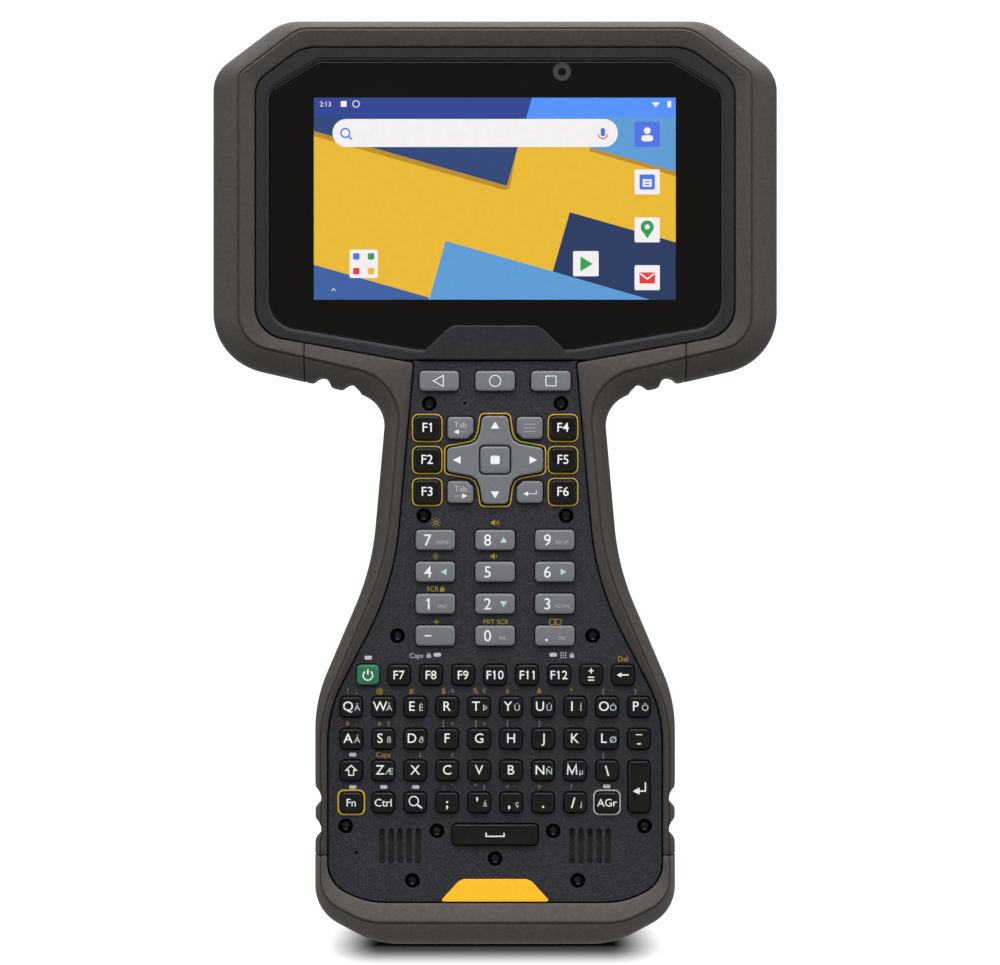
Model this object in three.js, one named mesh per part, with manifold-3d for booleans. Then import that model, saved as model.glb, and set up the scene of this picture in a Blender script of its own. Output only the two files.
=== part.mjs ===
// Rugged handheld data collector: a landscape touch-screen head on a neck, over a full keypad.
// Millimetres, +X to the right of the user, +Z up, the screen and the keys face -Y.
// The unit stands on the flat foot of its lower end bumper, and the origin is under its middle.
import * as THREE from 'three';
import { mergeVertices } from 'three/addons/utils/BufferGeometryUtils.js';
import Module from 'manifold-3d';

const wasm = await Module();
wasm.setup();

// ---------------------------------------------------------------- driving dimensions
// Depths are measured back from the front crest of the bumper, which is depth 0.
const DEPTH = 48; // front crest to the crown of the hand strap
const GAP = 0.3; // clearance between two pieces that meet
const LARGE = 400; // longer than the unit, for cutting tools

// Right half of the T-shaped outline, from the top down: x, z and corner radius.
const CASING = [
  [65.5, 284, 15],
  [86.8, 268, 11],
  [86.8, 179.6, 18.5],
  [33.4, 167.3, 10],
  [38.0, 116, 79],
  [55.4, 75.1, 44],
  [55.4, 10.1, 13.3],
  [36.3, 0, 28],
];
// Steps along the straight runs of the neck, which the hand saddle bends.
const CASING_STEPS = { 4: 4, 5: 3 };
const CORNER_STEPS = { 2: 4, 3: 4 }; // steps round the two widest corners, 3 round the others

// How far features lie inside each edge of the outline, from the top edge to the foot. Each
// edge has the inset at its start and at its end. A third number is the radius of the corner
// where the edge starts, which otherwise runs parallel to the casing's own.
const everyEdge = (insets) => insets.map((inset) => (Array.isArray(inset) ? inset : [inset, inset]));
const CREASE = everyEdge([3.0, 5.6, 8.3, 7.1, 4.6, 3.6, 2.1, 5.0, 7.3]);
const LIP = everyEdge([8.3, 10.4, 13.1, [10.1, 12.7, 10], [7.2, 7.2, 1], [8.2, 4.9], 3.9, 10, 13.2]);
const RUBBER = 3.2; // thickness of the bumper's side wall
const SHELL = RUBBER + 0.35; // inset of the hard shells behind it
const WALL = 2.55; // wall of the hard shells

// A new set of insets, with change applied to each.
const reset = (insets, change) => insets.map((pair) => pair.map(change));
const grow = (insets, by) => reset(insets, (inset) => inset + by);
const UNDERCUT = reset(LIP, (inset) => RUBBER + (inset - 3.9) * 0.5);

// Hand saddle: the neck's back is hollowed by an arc between these heights.
const SADDLE = { low: 90, high: 168, radius: 155 };

const HEAD_FLOOR = 179.6; // height where the glass bezel gives way to the keypad faceplate
const PARTING = 15.75; // depth where front and rear housings meet
const BACK = 34; // depth of the raised back panel
const GLASS = [
  [54.4, 271.1, 6],
  [69.2, 262, 6],
  [69.2, 190.6, 9],
  [24, 183, 3],
];
const GLASS_DEPTH = [2.8, 4.6];
const DISPLAY = { z: 229.1, width: 116, height: 68, depth: [4.9, 7.9] };
const PLATE_DEPTH = [2.2, 3.7]; // the keypad faceplate
const MAT_DEPTH = [6.0, 7.2];
const BOARD_DEPTH = [7.5, 9.1];
const MAIN_BOARD_DEPTH = [17.0, 18.4];

// Keys: what they stand proud to, and the layout pitch of the letter block.
const KEY_FACE = 0.6;
const KEY_SHOULDER = 1.1;
const KEY_BASE = 4.9;
const KEY_PITCH = 9.79;
const KEY_GAP = 0.35;
const PAD = { z: 149, tip: 13.5, side: 14.7, gap: 0.45 };

// Front screws: x and z on the right-hand side, and one on the middle line.
const SCREW_POSTS = [
  [20.2, 166.3],
  [21.8, 131.9],
  [29.9, 95.1],
  [45.8, 36.8],
  [17.8, 35.3],
  [25.35, 20.1],
];
const MIDDLE_SCREW = [0, 26.8];

const SPEAKER = { x: 29.1, z: 30.7, width: 17, height: 13, slots: 5, pitch: 2.77 };
const SEAM = { headX: 58.5, footZ: 28 }; // where the bumper's four mouldings meet
const FRONT_CAMERA = [20.5, 268];
const REAR_CAMERA = [-67, 246];
const MODULE = { x: 57, low: 222, high: 270 };
const MOUNT = { width: 52, height: 36, z: 199, depth: [33.3, 35.8] };
const BAY = { x: 37, low: 12.3, high: 68.7, depth: 21.4 };
const LATCH = { x: 8, low: 70.8, high: 75.8 };
const STRAP = { x: 18, low: 84, high: 174, bar: 39.3, thick: 2.2 };
const PORT = { z: 59, depth: 18, height: 13, width: 9, thick: 2.6 };

// ---------------------------------------------------------------- solids and booleans
function toSolid(geometry) {
  const bare = geometry.clone();
  bare.deleteAttribute('normal');
  bare.deleteAttribute('uv');
  const merged = mergeVertices(bare, 1e-4);
  return new wasm.Manifold(
    new wasm.Mesh({
      numProp: 3,
      vertProperties: merged.attributes.position.array,
      triVerts: Uint32Array.from(merged.index.array),
    }),
  );
}

function toGeometry(solid) {
  const { vertProperties, triVerts } = solid.getMesh();
  const shared = new THREE.BufferGeometry();
  shared.setAttribute('position', new THREE.BufferAttribute(vertProperties, 3));
  shared.setIndex(new THREE.BufferAttribute(triVerts, 1));
  const flat = shared.toNonIndexed();
  flat.computeVertexNormals();
  return flat;
}

const join = (...solids) => solids.reduce((whole, piece) => whole.add(piece));
const cut = (solid, ...tools) => tools.reduce((left, tool) => left.subtract(tool), solid);

// A box between two x, two depths and two heights.
function box(x0, x1, d0, d1, z0, z1) {
  const geometry = new THREE.BoxGeometry(x1 - x0, d1 - d0, z1 - z0);
  geometry.translate((x0 + x1) / 2, (d0 + d1) / 2, (z0 + z1) / 2);
  return toSolid(geometry);
}

// A round bar along the depth axis.
function disc(x, z, radius, d0, d1, sides = 16) {
  const geometry = new THREE.CylinderGeometry(radius, radius, d1 - d0, sides);
  geometry.translate(x, (d0 + d1) / 2, z);
  return toSolid(geometry);
}

function shapeOf(points) {
  return new THREE.Shape(points.map(([x, z]) => new THREE.Vector2(x, z)));
}

// A flat outline in x and z, extruded between two depths.
function prism(shape, d0, d1) {
  const geometry = new THREE.ExtrudeGeometry(shape, { depth: d1 - d0, bevelEnabled: false });
  geometry.rotateX(Math.PI / 2);
  geometry.translate(0, d1, 0);
  return toSolid(geometry);
}

// A flat outline in depth and z, extruded between two x.
function sideways(points, x0, x1) {
  const shape = shapeOf(points);
  const geometry = new THREE.ExtrudeGeometry(shape, { depth: x1 - x0, bevelEnabled: false });
  geometry.applyMatrix4(
    new THREE.Matrix4().makeBasis(
      new THREE.Vector3(0, 1, 0),
      new THREE.Vector3(0, 0, 1),
      new THREE.Vector3(1, 0, 0),
    ),
  );
  geometry.translate(x0, 0, 0);
  return toSolid(geometry);
}

// ---------------------------------------------------------------- the casing's outline
// Edges of the right half, each moved inwards by its insets. An inset is one number for all
// the edges, or a list with a start and an end value for each.
function insetEdges(corners, inset) {
  const path = [[0, corners[0][1]], ...corners, [0, corners.at(-1)[1]]];
  return corners.concat(0).map((_, i) => {
    const [start, end] = [path[i], path[i + 1]].map(([x, z]) => new THREE.Vector2(x, z));
    const run = end.clone().sub(start).normalize();
    const across = new THREE.Vector2(run.y, -run.x);
    const [near, far, radius] = Array.isArray(inset) ? inset[i] : [inset, inset];
    start.addScaledVector(across, near);
    end.addScaledVector(across, far);
    const along = end.clone().sub(start).normalize();
    const inward = new THREE.Vector2(along.y, -along.x);
    return { along, inward, near, far, radius, start };
  });
}

function meeting(first, second) {
  const reach = second.start.clone().sub(first.start).cross(second.along);
  return first.start.clone().addScaledVector(first.along, reach / first.along.cross(second.along));
}

// The rounded corner between two edges, as points running clockwise round the unit.
function cornerArc(first, second, radius, steps) {
  const turn = first.along.angleTo(second.along);
  const side = first.along.cross(second.along) < 0 ? 1 : -1;
  const bend = second.radius ?? Math.max(radius - (side * (first.far + second.near)) / 2, 0.8);
  const start = meeting(first, second).addScaledVector(first.along, -bend * Math.tan(turn / 2));
  const centre = start.clone().addScaledVector(first.inward, side * bend);
  return Array.from({ length: steps + 1 }, (_, k) =>
    start.clone().rotateAround(centre, (-side * turn * k) / steps),
  );
}

// Right half of an outline, top to bottom. straightSteps divides the named edges.
function halfOutline(corners, inset = 0, straightSteps = {}) {
  const edges = insetEdges(corners, inset);
  const points = [];
  corners.forEach(([, , radius], i) => {
    const arc = cornerArc(edges[i], edges[i + 1], radius, CORNER_STEPS[i] ?? 3);
    const steps = straightSteps[i] ?? 1;
    const last = points.at(-1);
    for (let k = 1; k < steps; k += 1) points.push(last.clone().lerp(arc[0], k / steps));
    points.push(...arc);
  });
  return points;
}

// The whole outline, clockwise as the user sees it.
function outline(corners, inset, straightSteps) {
  const right = halfOutline(corners, inset, straightSteps);
  const left = right.map((p) => new THREE.Vector2(-p.x, p.y)).reverse();
  return [...right, ...left];
}

// How far the back is pressed in at a height. The front is left alone.
function pressed(z, depth) {
  const middle = (SADDLE.low + SADDLE.high) / 2;
  const half = (SADDLE.high - SADDLE.low) / 2;
  const rise = (reach) => Math.sqrt(SADDLE.radius ** 2 - reach ** 2);
  const hollow = Math.max(0, rise(Math.min(Math.abs(z - middle), half)) - rise(half));
  return depth - hollow * THREE.MathUtils.clamp((depth - 20) / 6, 0, 1);
}

// ---------------------------------------------------------------- skins through stacked loops
function skin(loops, faces) {
  const geometry = new THREE.BufferGeometry();
  geometry.setAttribute('position', new THREE.Float32BufferAttribute(loops.flat(), 3));
  geometry.setIndex(faces.flat());
  return toSolid(geometry);
}

// Side faces between loop a and loop b, each of count points running clockwise.
function band(a, b, count) {
  return Array.from({ length: count }, (_, i) => {
    const next = (i + 1) % count;
    const [p, q] = [a * count + i, a * count + next];
    const [r, s] = [b * count + i, b * count + next];
    return [p, q, r, q, s, r];
  }).flat();
}

const casingLoop = ([inset, depth]) =>
  outline(CASING, inset, CASING_STEPS).flatMap((p) => [p.x, pressed(p.y, depth), p.y]);

// A solid with the casing's outline, from stations of inset and depth, front to back.
function slab(stations) {
  const loops = stations.map(casingLoop);
  const count = loops[0].length / 3;
  const back = (stations.length - 1) * count;
  const faces = stations.slice(1).map((_, j) => band(j, j + 1, count));
  // The caps are strips across the unit, so that they follow the saddle.
  for (let i = 0; i < count / 2 - 1; i += 1) {
    const [right, lower] = [i, i + 1];
    const [left, leftLower] = [count - 1 - i, count - 2 - i];
    faces.push([right, left, leftLower, right, leftLower, lower]);
    faces.push([right, lower, leftLower, right, leftLower, left].map((v) => v + back));
  }
  return skin(loops, faces);
}

// A closed ring round the casing's outline, from a closed section of inset and depth.
function ring(section) {
  const loops = section.map(casingLoop);
  const count = loops[0].length / 3;
  return skin(loops, section.map((_, j) => band(j, (j + 1) % section.length, count)));
}

// A convex block from equal loops of x and z at rising depths.
function block(loops, depths) {
  const count = loops[0].length;
  const back = (loops.length - 1) * count;
  const points = loops.map((loop, j) => loop.flatMap(([x, z]) => [x, depths[j], z]));
  const faces = loops.slice(1).map((_, j) => band(j, j + 1, count));
  for (let i = 1; i < count - 1; i += 1) {
    faces.push([0, i + 1, i]);
    faces.push([back, back + i, back + i + 1]);
  }
  return skin(points, faces);
}

const above = (z) => box(-LARGE, LARGE, -LARGE, LARGE, z, LARGE);
const below = (z) => box(-LARGE, LARGE, -LARGE, LARGE, -LARGE, z);

// Calls make once for each side of the unit, with 1 for right and -1 for left.
const bothSides = (make) => [make(1), make(-1)];
const screwSpots = [MIDDLE_SCREW, ...SCREW_POSTS.flatMap(([x, z]) => bothSides((s) => [s * x, z]))];

// ---------------------------------------------------------------- rubber bumper
// Section of the bumper: the raised front band, the outer wall and the rear lip.
const BUMPER_SECTION = [
  [LIP, 0],
  [CREASE, 0],
  ...[[0.94, 0.9], [0.45, 2.6], [0.12, 5.5]].map(([share, depth]) => [
    reset(CREASE, (inset) => inset * share),
    depth,
  ]),
  [0, 9],
  [0, 25],
  [1.2, 29.5],
  [4.0, 32.6],
  [9, 33.6],
  [9, 31],
  [4.6, 30.4],
  [RUBBER, 28],
  [RUBBER, 6.5],
  [UNDERCUT, 3.0],
  [LIP, 2.4],
];

// Notches that hold a stylus tether, and the tunnel behind the rib between each two.
function tetherCuts(side) {
  const notches = [
    [56.7, 45.4, 3.3],
    [56.7, 35.8, 3.3],
    [44.4, 169.5, 2.7],
    [53.4, 171.6, 2.7],
  ].map(([x, z, radius]) => disc(side * x, z, radius, -1, BACK + 2, 12));
  const grip = [[52.6, 36], [54.1, 36], [54.1, 45], [52.6, 45]];
  const head = [[44, 170.9], [54, 173.2], [54, 174.5], [44, 172.2]];
  const tunnels = [grip, head].map((quad) =>
    prism(shapeOf(quad.map(([x, z]) => [side * x, z])), 12, 20),
  );
  return [...notches, ...tunnels];
}

function bumperPieces() {
  const whole = cut(ring(BUMPER_SECTION), ...bothSides(tetherCuts).flat());
  const neckLine = 182;
  const headSide = bothSides((s) => {
    const [inner, outer] = [SEAM.headX + GAP / 2, LARGE];
    return box(Math.min(s * inner, s * outer), Math.max(s * inner, s * outer), -1, LARGE, 100, LARGE);
  });
  const head = join(above(neckLine + GAP / 2), ...headSide);
  const middle = box(
    -SEAM.headX + GAP / 2,
    SEAM.headX - GAP / 2,
    -1,
    LARGE,
    SEAM.footZ + GAP / 2,
    neckLine - GAP / 2,
  );
  const grips = whole.intersect(middle);
  const [right, left] = bothSides((s) =>
    grips.intersect(s > 0 ? box(0, LARGE, -1, LARGE, 0, LARGE) : box(-LARGE, 0, -1, LARGE, 0, LARGE)),
  );
  const window = box(51, 60, PORT.depth - 5, PORT.depth + 5, PORT.z - 7, PORT.z + 7);
  return {
    head_bumper: whole.intersect(head),
    left_grip: left,
    right_grip: cut(right, window),
    end_bumper: whole.intersect(below(SEAM.footZ - GAP / 2)),
  };
}

// ---------------------------------------------------------------- keys
// Outline of a rectangular key about its own middle. clips are its cut corners, clockwise from
// the top right one.
function keyLoop(width, height, clips) {
  const [w, h] = [width / 2, height / 2];
  const [a, b, c, d] = clips;
  return [
    [w - a, h],
    [w, h - a],
    [w, -h + b],
    [w - b, -h],
    [-w + c, -h],
    [-w, -h + c],
    [-w, h - d],
    [-w + d, h],
  ];
}

const KEY_CLIP = 1.1;
const PLAIN_CLIPS = [KEY_CLIP, KEY_CLIP, KEY_CLIP, KEY_CLIP];

// A key cap with a crown, straight sides and a retaining flange behind the faceplate.
function keySolid(width, height, flange, clips = PLAIN_CLIPS) {
  const side = keyLoop(width, height, clips);
  const crown = keyLoop(width - 0.9, height - 0.9, clips.map((clip) => clip - 0.2));
  if (!flange) return block([crown, side, side], [KEY_FACE, KEY_SHOULDER, KEY_BASE]);
  const foot = keyLoop(width + 2 * flange, height + 2 * flange, clips);
  return block([crown, side, side, foot], [KEY_FACE, KEY_SHOULDER, KEY_BASE - 0.8, KEY_BASE]);
}

// The keys that press on their own: name, x, z, width, height and colour.
const LARGE_KEY = [12.1, 6.2];
const F_KEY = [8.0, 7.3];
const FLANGE = 0.6;
const singleKeys = [
  ['key_back', -17.1, 173.2, ...LARGE_KEY, 'grey'],
  ['key_home', 0, 173.2, ...LARGE_KEY, 'grey'],
  ['key_recent', 17.1, 173.2, ...LARGE_KEY, 'grey'],
  ...[158.8, 149, 139.2].flatMap((z, i) => [
    [`key_f${i + 1}`, -20.8, z, ...F_KEY, 'black'],
    [`key_f${i + 4}`, 20.8, z, ...F_KEY, 'black'],
  ]),
  ...['789', '456', '123', '-0.'].flatMap((row, r) =>
    [...row].map((glyph, c) => [
      `key_${{ '-': 'minus', '.': 'point' }[glyph] ?? glyph}`,
      (c - 1) * 18.3,
      124.5 - 9.77 * r,
      ...LARGE_KEY,
      'grey',
    ]),
  ),
  ['key_power', -38.95, 83.2, 6.9, 6.2, 'green'],
  ['key_enter', 4.5 * KEY_PITCH, 49.0, 6.6, 15.8, 'black'],
  ['key_space', 0, 34.3, 26.2, 6.4, 'black'],
];

// The four keys round the direction pad: name, and the side and the height they lie on.
const CORNER_KEY = { x: 10.6, z: 9.8, width: 8.0, height: 6.8, clip: 2.2 };
const cornerKeys = [
  ['key_tab_back', -1, 1],
  ['key_menu', 1, 1],
  ['key_tab_forward', -1, -1],
  ['key_enter_small', 1, -1],
];

// Corner cuts of such a key: the one that faces the middle of the pad is larger.
function cornerClips(side, rise) {
  const corners = [[1, 1], [1, -1], [-1, -1], [-1, 1]];
  return corners.map(([x, z]) => (x === -side && z === -rise ? CORNER_KEY.clip : KEY_CLIP));
}

// Rows of small keys, each moulded on one strip: name, z, first x, count and pitch.
const SMALL_KEY = [6.7, 6.2];
const LETTERS_LEFT = -4.5 * KEY_PITCH;
const keyRows = [
  ['keys_function_row', 83.2, -29.4, 8, 9.8],
  ['keys_letter_row_top', 73.4, LETTERS_LEFT, 10, KEY_PITCH],
  ['keys_letter_row_middle', 63.6, LETTERS_LEFT, 10, KEY_PITCH],
  ['keys_letter_row_bottom', 53.9, LETTERS_LEFT, 9, KEY_PITCH],
  ['keys_modifier_row', 44.1, LETTERS_LEFT, 9, KEY_PITCH],
];

function rowSolid(count, pitch) {
  const strip = box(-2, (count - 1) * pitch + 2, KEY_BASE - 0.9, KEY_BASE, -2.5, 2.5);
  const cap = keySolid(...SMALL_KEY, 0);
  const keys = Array.from({ length: count }, (_, i) => cap.translate([i * pitch, 0, 0]));
  return join(strip, ...keys);
}

// Plus-shaped outline of the direction pad about its own middle, moved outwards by grown.
function padShape(grown = 0) {
  const quarter = [
    [3.0, PAD.tip],
    [4.1, PAD.tip - 1.2],
    [4.9, 6.6],
    [6.5, 4.9],
    [PAD.side - 1.2, 3.9],
    [PAD.side, 2.8],
  ].map(([x, z]) => [x + grown, z + grown]);
  const lower = quarter.map(([x, z]) => [x, -z]).reverse();
  const right = [...quarter, ...lower];
  const left = right.map(([x, z]) => [-x, z]).reverse();
  return shapeOf([...right, ...left]);
}

const PAD_CENTRE = { width: 9.1, height: 8.4, clips: [1.6, 1.6, 1.6, 1.6], face: 0.3 };

function padSolid() {
  const shoulder = 1.1;
  const rear = 4.8;
  const hole = keyLoop(PAD_CENTRE.width + 0.8, PAD_CENTRE.height + 0.8, PAD_CENTRE.clips);
  const body = join(prism(padShape(), shoulder, rear), prism(padShape(-0.35), 0.5, shoulder));
  return cut(body, block([hole, hole], [0, 6]));
}

function padCentreSolid() {
  const { width, height, clips, face } = PAD_CENTRE;
  const side = keyLoop(width, height, clips);
  const crown = keyLoop(width - 0.8, height - 0.8, clips);
  return block([crown, side, side], [face, face + 0.5, KEY_BASE]);
}

// The rocker ring under the pad. It tilts up and down, and the pad tilts sideways on it.
const CARRIER = { outer: [15, 15], inner: [10.6, 9.9], depth: [5.6, 6.1] };

function carrierSolid() {
  const [outer, inner] = [CARRIER.outer, CARRIER.inner].map((size) => keyLoop(...size, PLAIN_CLIPS));
  return cut(block([outer, outer], CARRIER.depth), block([inner, inner], [5, 7]));
}

// ---------------------------------------------------------------- faceplate, mat and board
// Square cut through the faceplate for a key.
function keyHole(x, z, width, height) {
  const [w, h] = [width / 2 + KEY_GAP, height / 2 + KEY_GAP];
  return box(x - w, x + w, 0, 5, z - h, z + h);
}

function cornerHole(side, rise) {
  const clips = cornerClips(side, rise).map((clip) => (clip === KEY_CLIP ? 0.8 : clip));
  const [width, height] = [CORNER_KEY.width + 2 * KEY_GAP, CORNER_KEY.height + 2 * KEY_GAP];
  const loop = keyLoop(width, height, clips);
  return block([loop, loop], [0, 5]).translate([side * CORNER_KEY.x, 0, PAD.z + rise * CORNER_KEY.z]);
}

function faceplateSolid() {
  const sheet = slab([[grow(LIP, 0.4), PLATE_DEPTH[0]], [grow(LIP, 0.4), PLATE_DEPTH[1]]]);
  const slots = bothSides((side) =>
    Array.from({ length: SPEAKER.slots }, (_, i) => {
      const x = side * SPEAKER.x + (i - (SPEAKER.slots - 1) / 2) * SPEAKER.pitch;
      return box(x - 0.78, x + 0.78, 0, 5, SPEAKER.z - 5.45, SPEAKER.z + 5.45);
    }),
  ).flat();
  const microphones = [
    [-42.5, 28.7],
    [-9.3, 166.4],
  ].map(([x, z]) => disc(x, z, 0.5, 0, 5, 6));
  const holes = [
    ...singleKeys.map(([, x, z, width, height]) => keyHole(x, z, width, height)),
    ...cornerKeys.map(([, side, rise]) => cornerHole(side, rise)),
    ...keyRows.flatMap(([, z, x, count, pitch]) =>
      Array.from({ length: count }, (_, i) => keyHole(x + i * pitch, z, ...SMALL_KEY)),
    ),
    ...screwSpots.map(([x, z]) => disc(x, z, 2.35, 0, 5, 10)),
    prism(padShape(PAD.gap), 0, 5).translate([0, 0, PAD.z]),
  ];
  return cut(sheet.intersect(below(HEAD_FLOOR - GAP)), ...holes, ...slots, ...microphones);
}

// A sheet behind the keys, open round the screws and the speakers.
function keypadLayer([front, rear]) {
  const whole = slab([[grow(LIP, 2.0), front], [grow(LIP, 2.0), rear]]);
  const keys = whole.intersect(above(40).intersect(below(176)));
  const spaceTab = whole.intersect(box(-14.5, 14.5, -1, LARGE, 23.5, 41));
  const holes = screwSpots.map(([x, z]) => disc(x, z, 2.8, front - 1, rear + 1, 8));
  return cut(join(keys, spaceTab), ...holes);
}

function keymatSolid() {
  const padOpening = box(-9, 9, 5, 8, PAD.z - 8.5, PAD.z + 8.5);
  return cut(keypadLayer(MAT_DEPTH), padOpening);
}

// Thirteen screws in a row, tied by the clamping strip that their points engage behind the
// front housing.
function screwSolid() {
  const [head, shaft] = [2.0, 1.0];
  const screws = screwSpots.map(([x, z]) =>
    join(disc(x, z, head, 3.95, 5.5, 8), disc(x, z, shaft, 5.2, 12.4, 6)),
  );
  const chain = [SCREW_POSTS[0], SCREW_POSTS[1], SCREW_POSTS[2], SCREW_POSTS[3], SCREW_POSTS[5]];
  const links = bothSides((side) => {
    const spots = [...chain, MIDDLE_SCREW].map(([x, z]) => [side * x, z]);
    const spur = [SCREW_POSTS[4], SCREW_POSTS[5]].map(([x, z]) => [side * x, z]);
    return [...spots.slice(1).map((spot, i) => link(spots[i], spot)), link(...spur)];
  }).flat();
  return join(...screws, ...links);
}

// A flat bar between two points.
function link(start, end) {
  const [a, b] = [new THREE.Vector2(...start), new THREE.Vector2(...end)];
  const across = b.clone().sub(a).normalize().rotateAround(new THREE.Vector2(), Math.PI / 2);
  const corners = [
    a.clone().addScaledVector(across, 0.9),
    b.clone().addScaledVector(across, 0.9),
    b.clone().addScaledVector(across, -0.9),
    a.clone().addScaledVector(across, -0.9),
  ];
  return prism(shapeOf(corners.map((p) => [p.x, p.y])), 11.4, 12.2);
}

// ---------------------------------------------------------------- hard housings
const glassShape = (inset = 0) => new THREE.Shape(outline(GLASS, inset));

// Raised tongue under the glass, which closes the bezel over the faceplate.
function tongueSolid() {
  const tongue = shapeOf([
    [24.4, HEAD_FLOOR],
    [15.2, 188.6],
    [12.8, 190.2],
    [-12.8, 190.2],
    [-15.2, 188.6],
    [-24.4, HEAD_FLOOR],
  ]);
  return prism(tongue, 0.9, 2.5);
}

function frontHousing() {
  const bezel = grow(LIP, 0.4);
  const shell = slab([
    [bezel, 1.2],
    [bezel, 2.8],
    [grow(UNDERCUT, 0.4), 3.4],
    [SHELL, 6.9],
    [SHELL, PARTING - 0.15],
  ]);
  const { z, width, height, depth } = DISPLAY;
  const [w, h] = [width / 2 + 0.4, height / 2 + 0.4];
  const rear = slab([[SHELL + WALL + 0.5, 10.8], [SHELL + WALL + 0.5, PARTING + 1]]);
  const keypad = slab([[grow(LIP, 0.9), 3.9], [grow(LIP, 0.9), 9.4]]).intersect(below(177));
  const hollow = cut(
    shell,
    below(HEAD_FLOOR).intersect(box(-LARGE, LARGE, -1, PLATE_DEPTH[1] + 0.25, -1, LARGE)),
    keypad,
    prism(glassShape(-GAP), 0, GLASS_DEPTH[1] + GAP),
    box(-w, w, 4, depth[1] + 0.4, z - h, z + h),
    disc(...FRONT_CAMERA, 3.2, 4, 12),
    rear,
  );
  const bosses = screwSpots.map(([screwX, screwZ]) => disc(screwX, screwZ, 2.4, 5.7, 9.8, 8));
  const drills = screwSpots.map(([screwX, screwZ]) => disc(screwX, screwZ, 1.3, 5, 12, 6));
  return cut(join(hollow, tongueSolid(), ...bosses), ...drills);
}

// Two posts and the bar that an end of the hand strap loops round.
function strapBridge(z) {
  const posts = bothSides((side) => {
    const [near, far] = [side * (STRAP.x + 0.4), side * (STRAP.x + 4.4)];
    return box(Math.min(near, far), Math.max(near, far), 32, 41.8, z - 3, z + 3);
  });
  const bar = new THREE.CylinderGeometry(2, 2, 2 * STRAP.x + 2, 12);
  bar.rotateZ(Math.PI / 2);
  bar.translate(0, STRAP.bar, z);
  return join(...posts, toSolid(bar));
}

function rearHousing() {
  const shell = slab([
    [SHELL, PARTING + 0.15],
    [SHELL, 27.8],
    [5.0, 30.1],
    [9.4, 30.7],
    [9.4, 33],
    [10.4, BACK],
  ]);
  const lining = SHELL + WALL;
  const shallow = slab([[lining, PARTING - 1], [lining, 19.6]]);
  const deep = slab([[lining, PARTING - 1], [lining, 28.2]]).intersect(above(80));
  const standoffs = bothSides((side) =>
    [200, 260].map((z) => disc(side * 50, z, 2.5, MAIN_BOARD_DEPTH[1] + GAP, 29, 8)),
  ).flat();
  const { width, height, z, depth } = MOUNT;
  const [seatX, seatZ] = [width / 2 + GAP, height / 2 + GAP];
  const cuts = [
    box(-BAY.x, BAY.x, BAY.depth, LARGE, BAY.low, BAY.high),
    box(-MODULE.x, MODULE.x, 31.5, LARGE, MODULE.low, MODULE.high),
    box(-seatX, seatX, depth[0] - GAP, LARGE, z - seatZ, z + seatZ),
    box(-10, 10, 31.2, LARGE, 70.4, 79),
    disc(...REAR_CAMERA, 5.1, 20, LARGE, 20),
    box(48, 54, PORT.depth - 1.7, PORT.depth + 1.7, PORT.z - 4.6, PORT.z + 4.6),
  ];
  const open = cut(shell, shallow, deep);
  return cut(join(open, ...standoffs, strapBridge(STRAP.low), strapBridge(STRAP.high)), ...cuts);
}

// ---------------------------------------------------------------- electronics
function mainBoard() {
  const [front, rear] = MAIN_BOARD_DEPTH;
  const chips = [
    [-30, -10, 235, 255],
    [4, 20, 238, 254],
    [-8, 8, 205, 221],
    [28, 52, 215, 226],
  ].map(([x0, x1, z0, z1]) => box(x0, x1, rear - 0.2, 21, z0, z1));
  return join(box(-54, 60, front, rear, 192, 268), box(-20, 20, front, rear, 100, 193), ...chips);
}

// ---------------------------------------------------------------- rear fittings
function modulePlate() {
  const [x, low, high] = [MODULE.x - GAP, MODULE.low + GAP, MODULE.high - GAP];
  const loop = (inset) => [
    [x - 2 - inset, high - inset],
    [x - inset, high - 2 - inset],
    [x - inset, low + 2 + inset],
    [x - 2 - inset, low + inset],
    [-x + 2 + inset, low + inset],
    [-x + inset, low + 2 + inset],
    [-x + inset, high - 2 - inset],
    [-x + 2 + inset, high - inset],
  ];
  return block([loop(0), loop(0), loop(1)], [31.9, 34.6, 35.5]);
}

// Steel plate with the four-hole pattern that a pole bracket bolts to.
const MOUNT_HOLES = { x: 19, z: 15, radius: 2.3 };

function mountPlate() {
  const holes = bothSides((side) =>
    [-1, 1].map((rise) => disc(side * MOUNT_HOLES.x, rise * MOUNT_HOLES.z, MOUNT_HOLES.radius, 30, 40, 12)),
  ).flat();
  const loop = keyLoop(MOUNT.width, MOUNT.height, [2, 2, 2, 2]);
  return cut(block([loop, loop], MOUNT.depth), ...holes);
}

function batteryPack() {
  const width = 2 * (BAY.x - GAP);
  const height = BAY.high - BAY.low - 2 * GAP;
  const clips = [2, 2, 2, 2];
  const [side, crown] = [keyLoop(width, height, clips), keyLoop(width - 1.6, height - 1.6, clips)];
  return block([side, side, crown], [BAY.depth + GAP, 33.4, BACK + 0.2]);
}

function batteryLatch() {
  const height = LATCH.high - LATCH.low;
  const base = box(-LATCH.x, LATCH.x, 31.6, 33.4, -height / 2, height / 2);
  const ribs = [-1, 0, 1].map((k) => box(-6.5, 6.5, 33.2, 34.8, k * 1.6 - 0.4, k * 1.6 + 0.4));
  return join(base, ...ribs);
}

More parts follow.
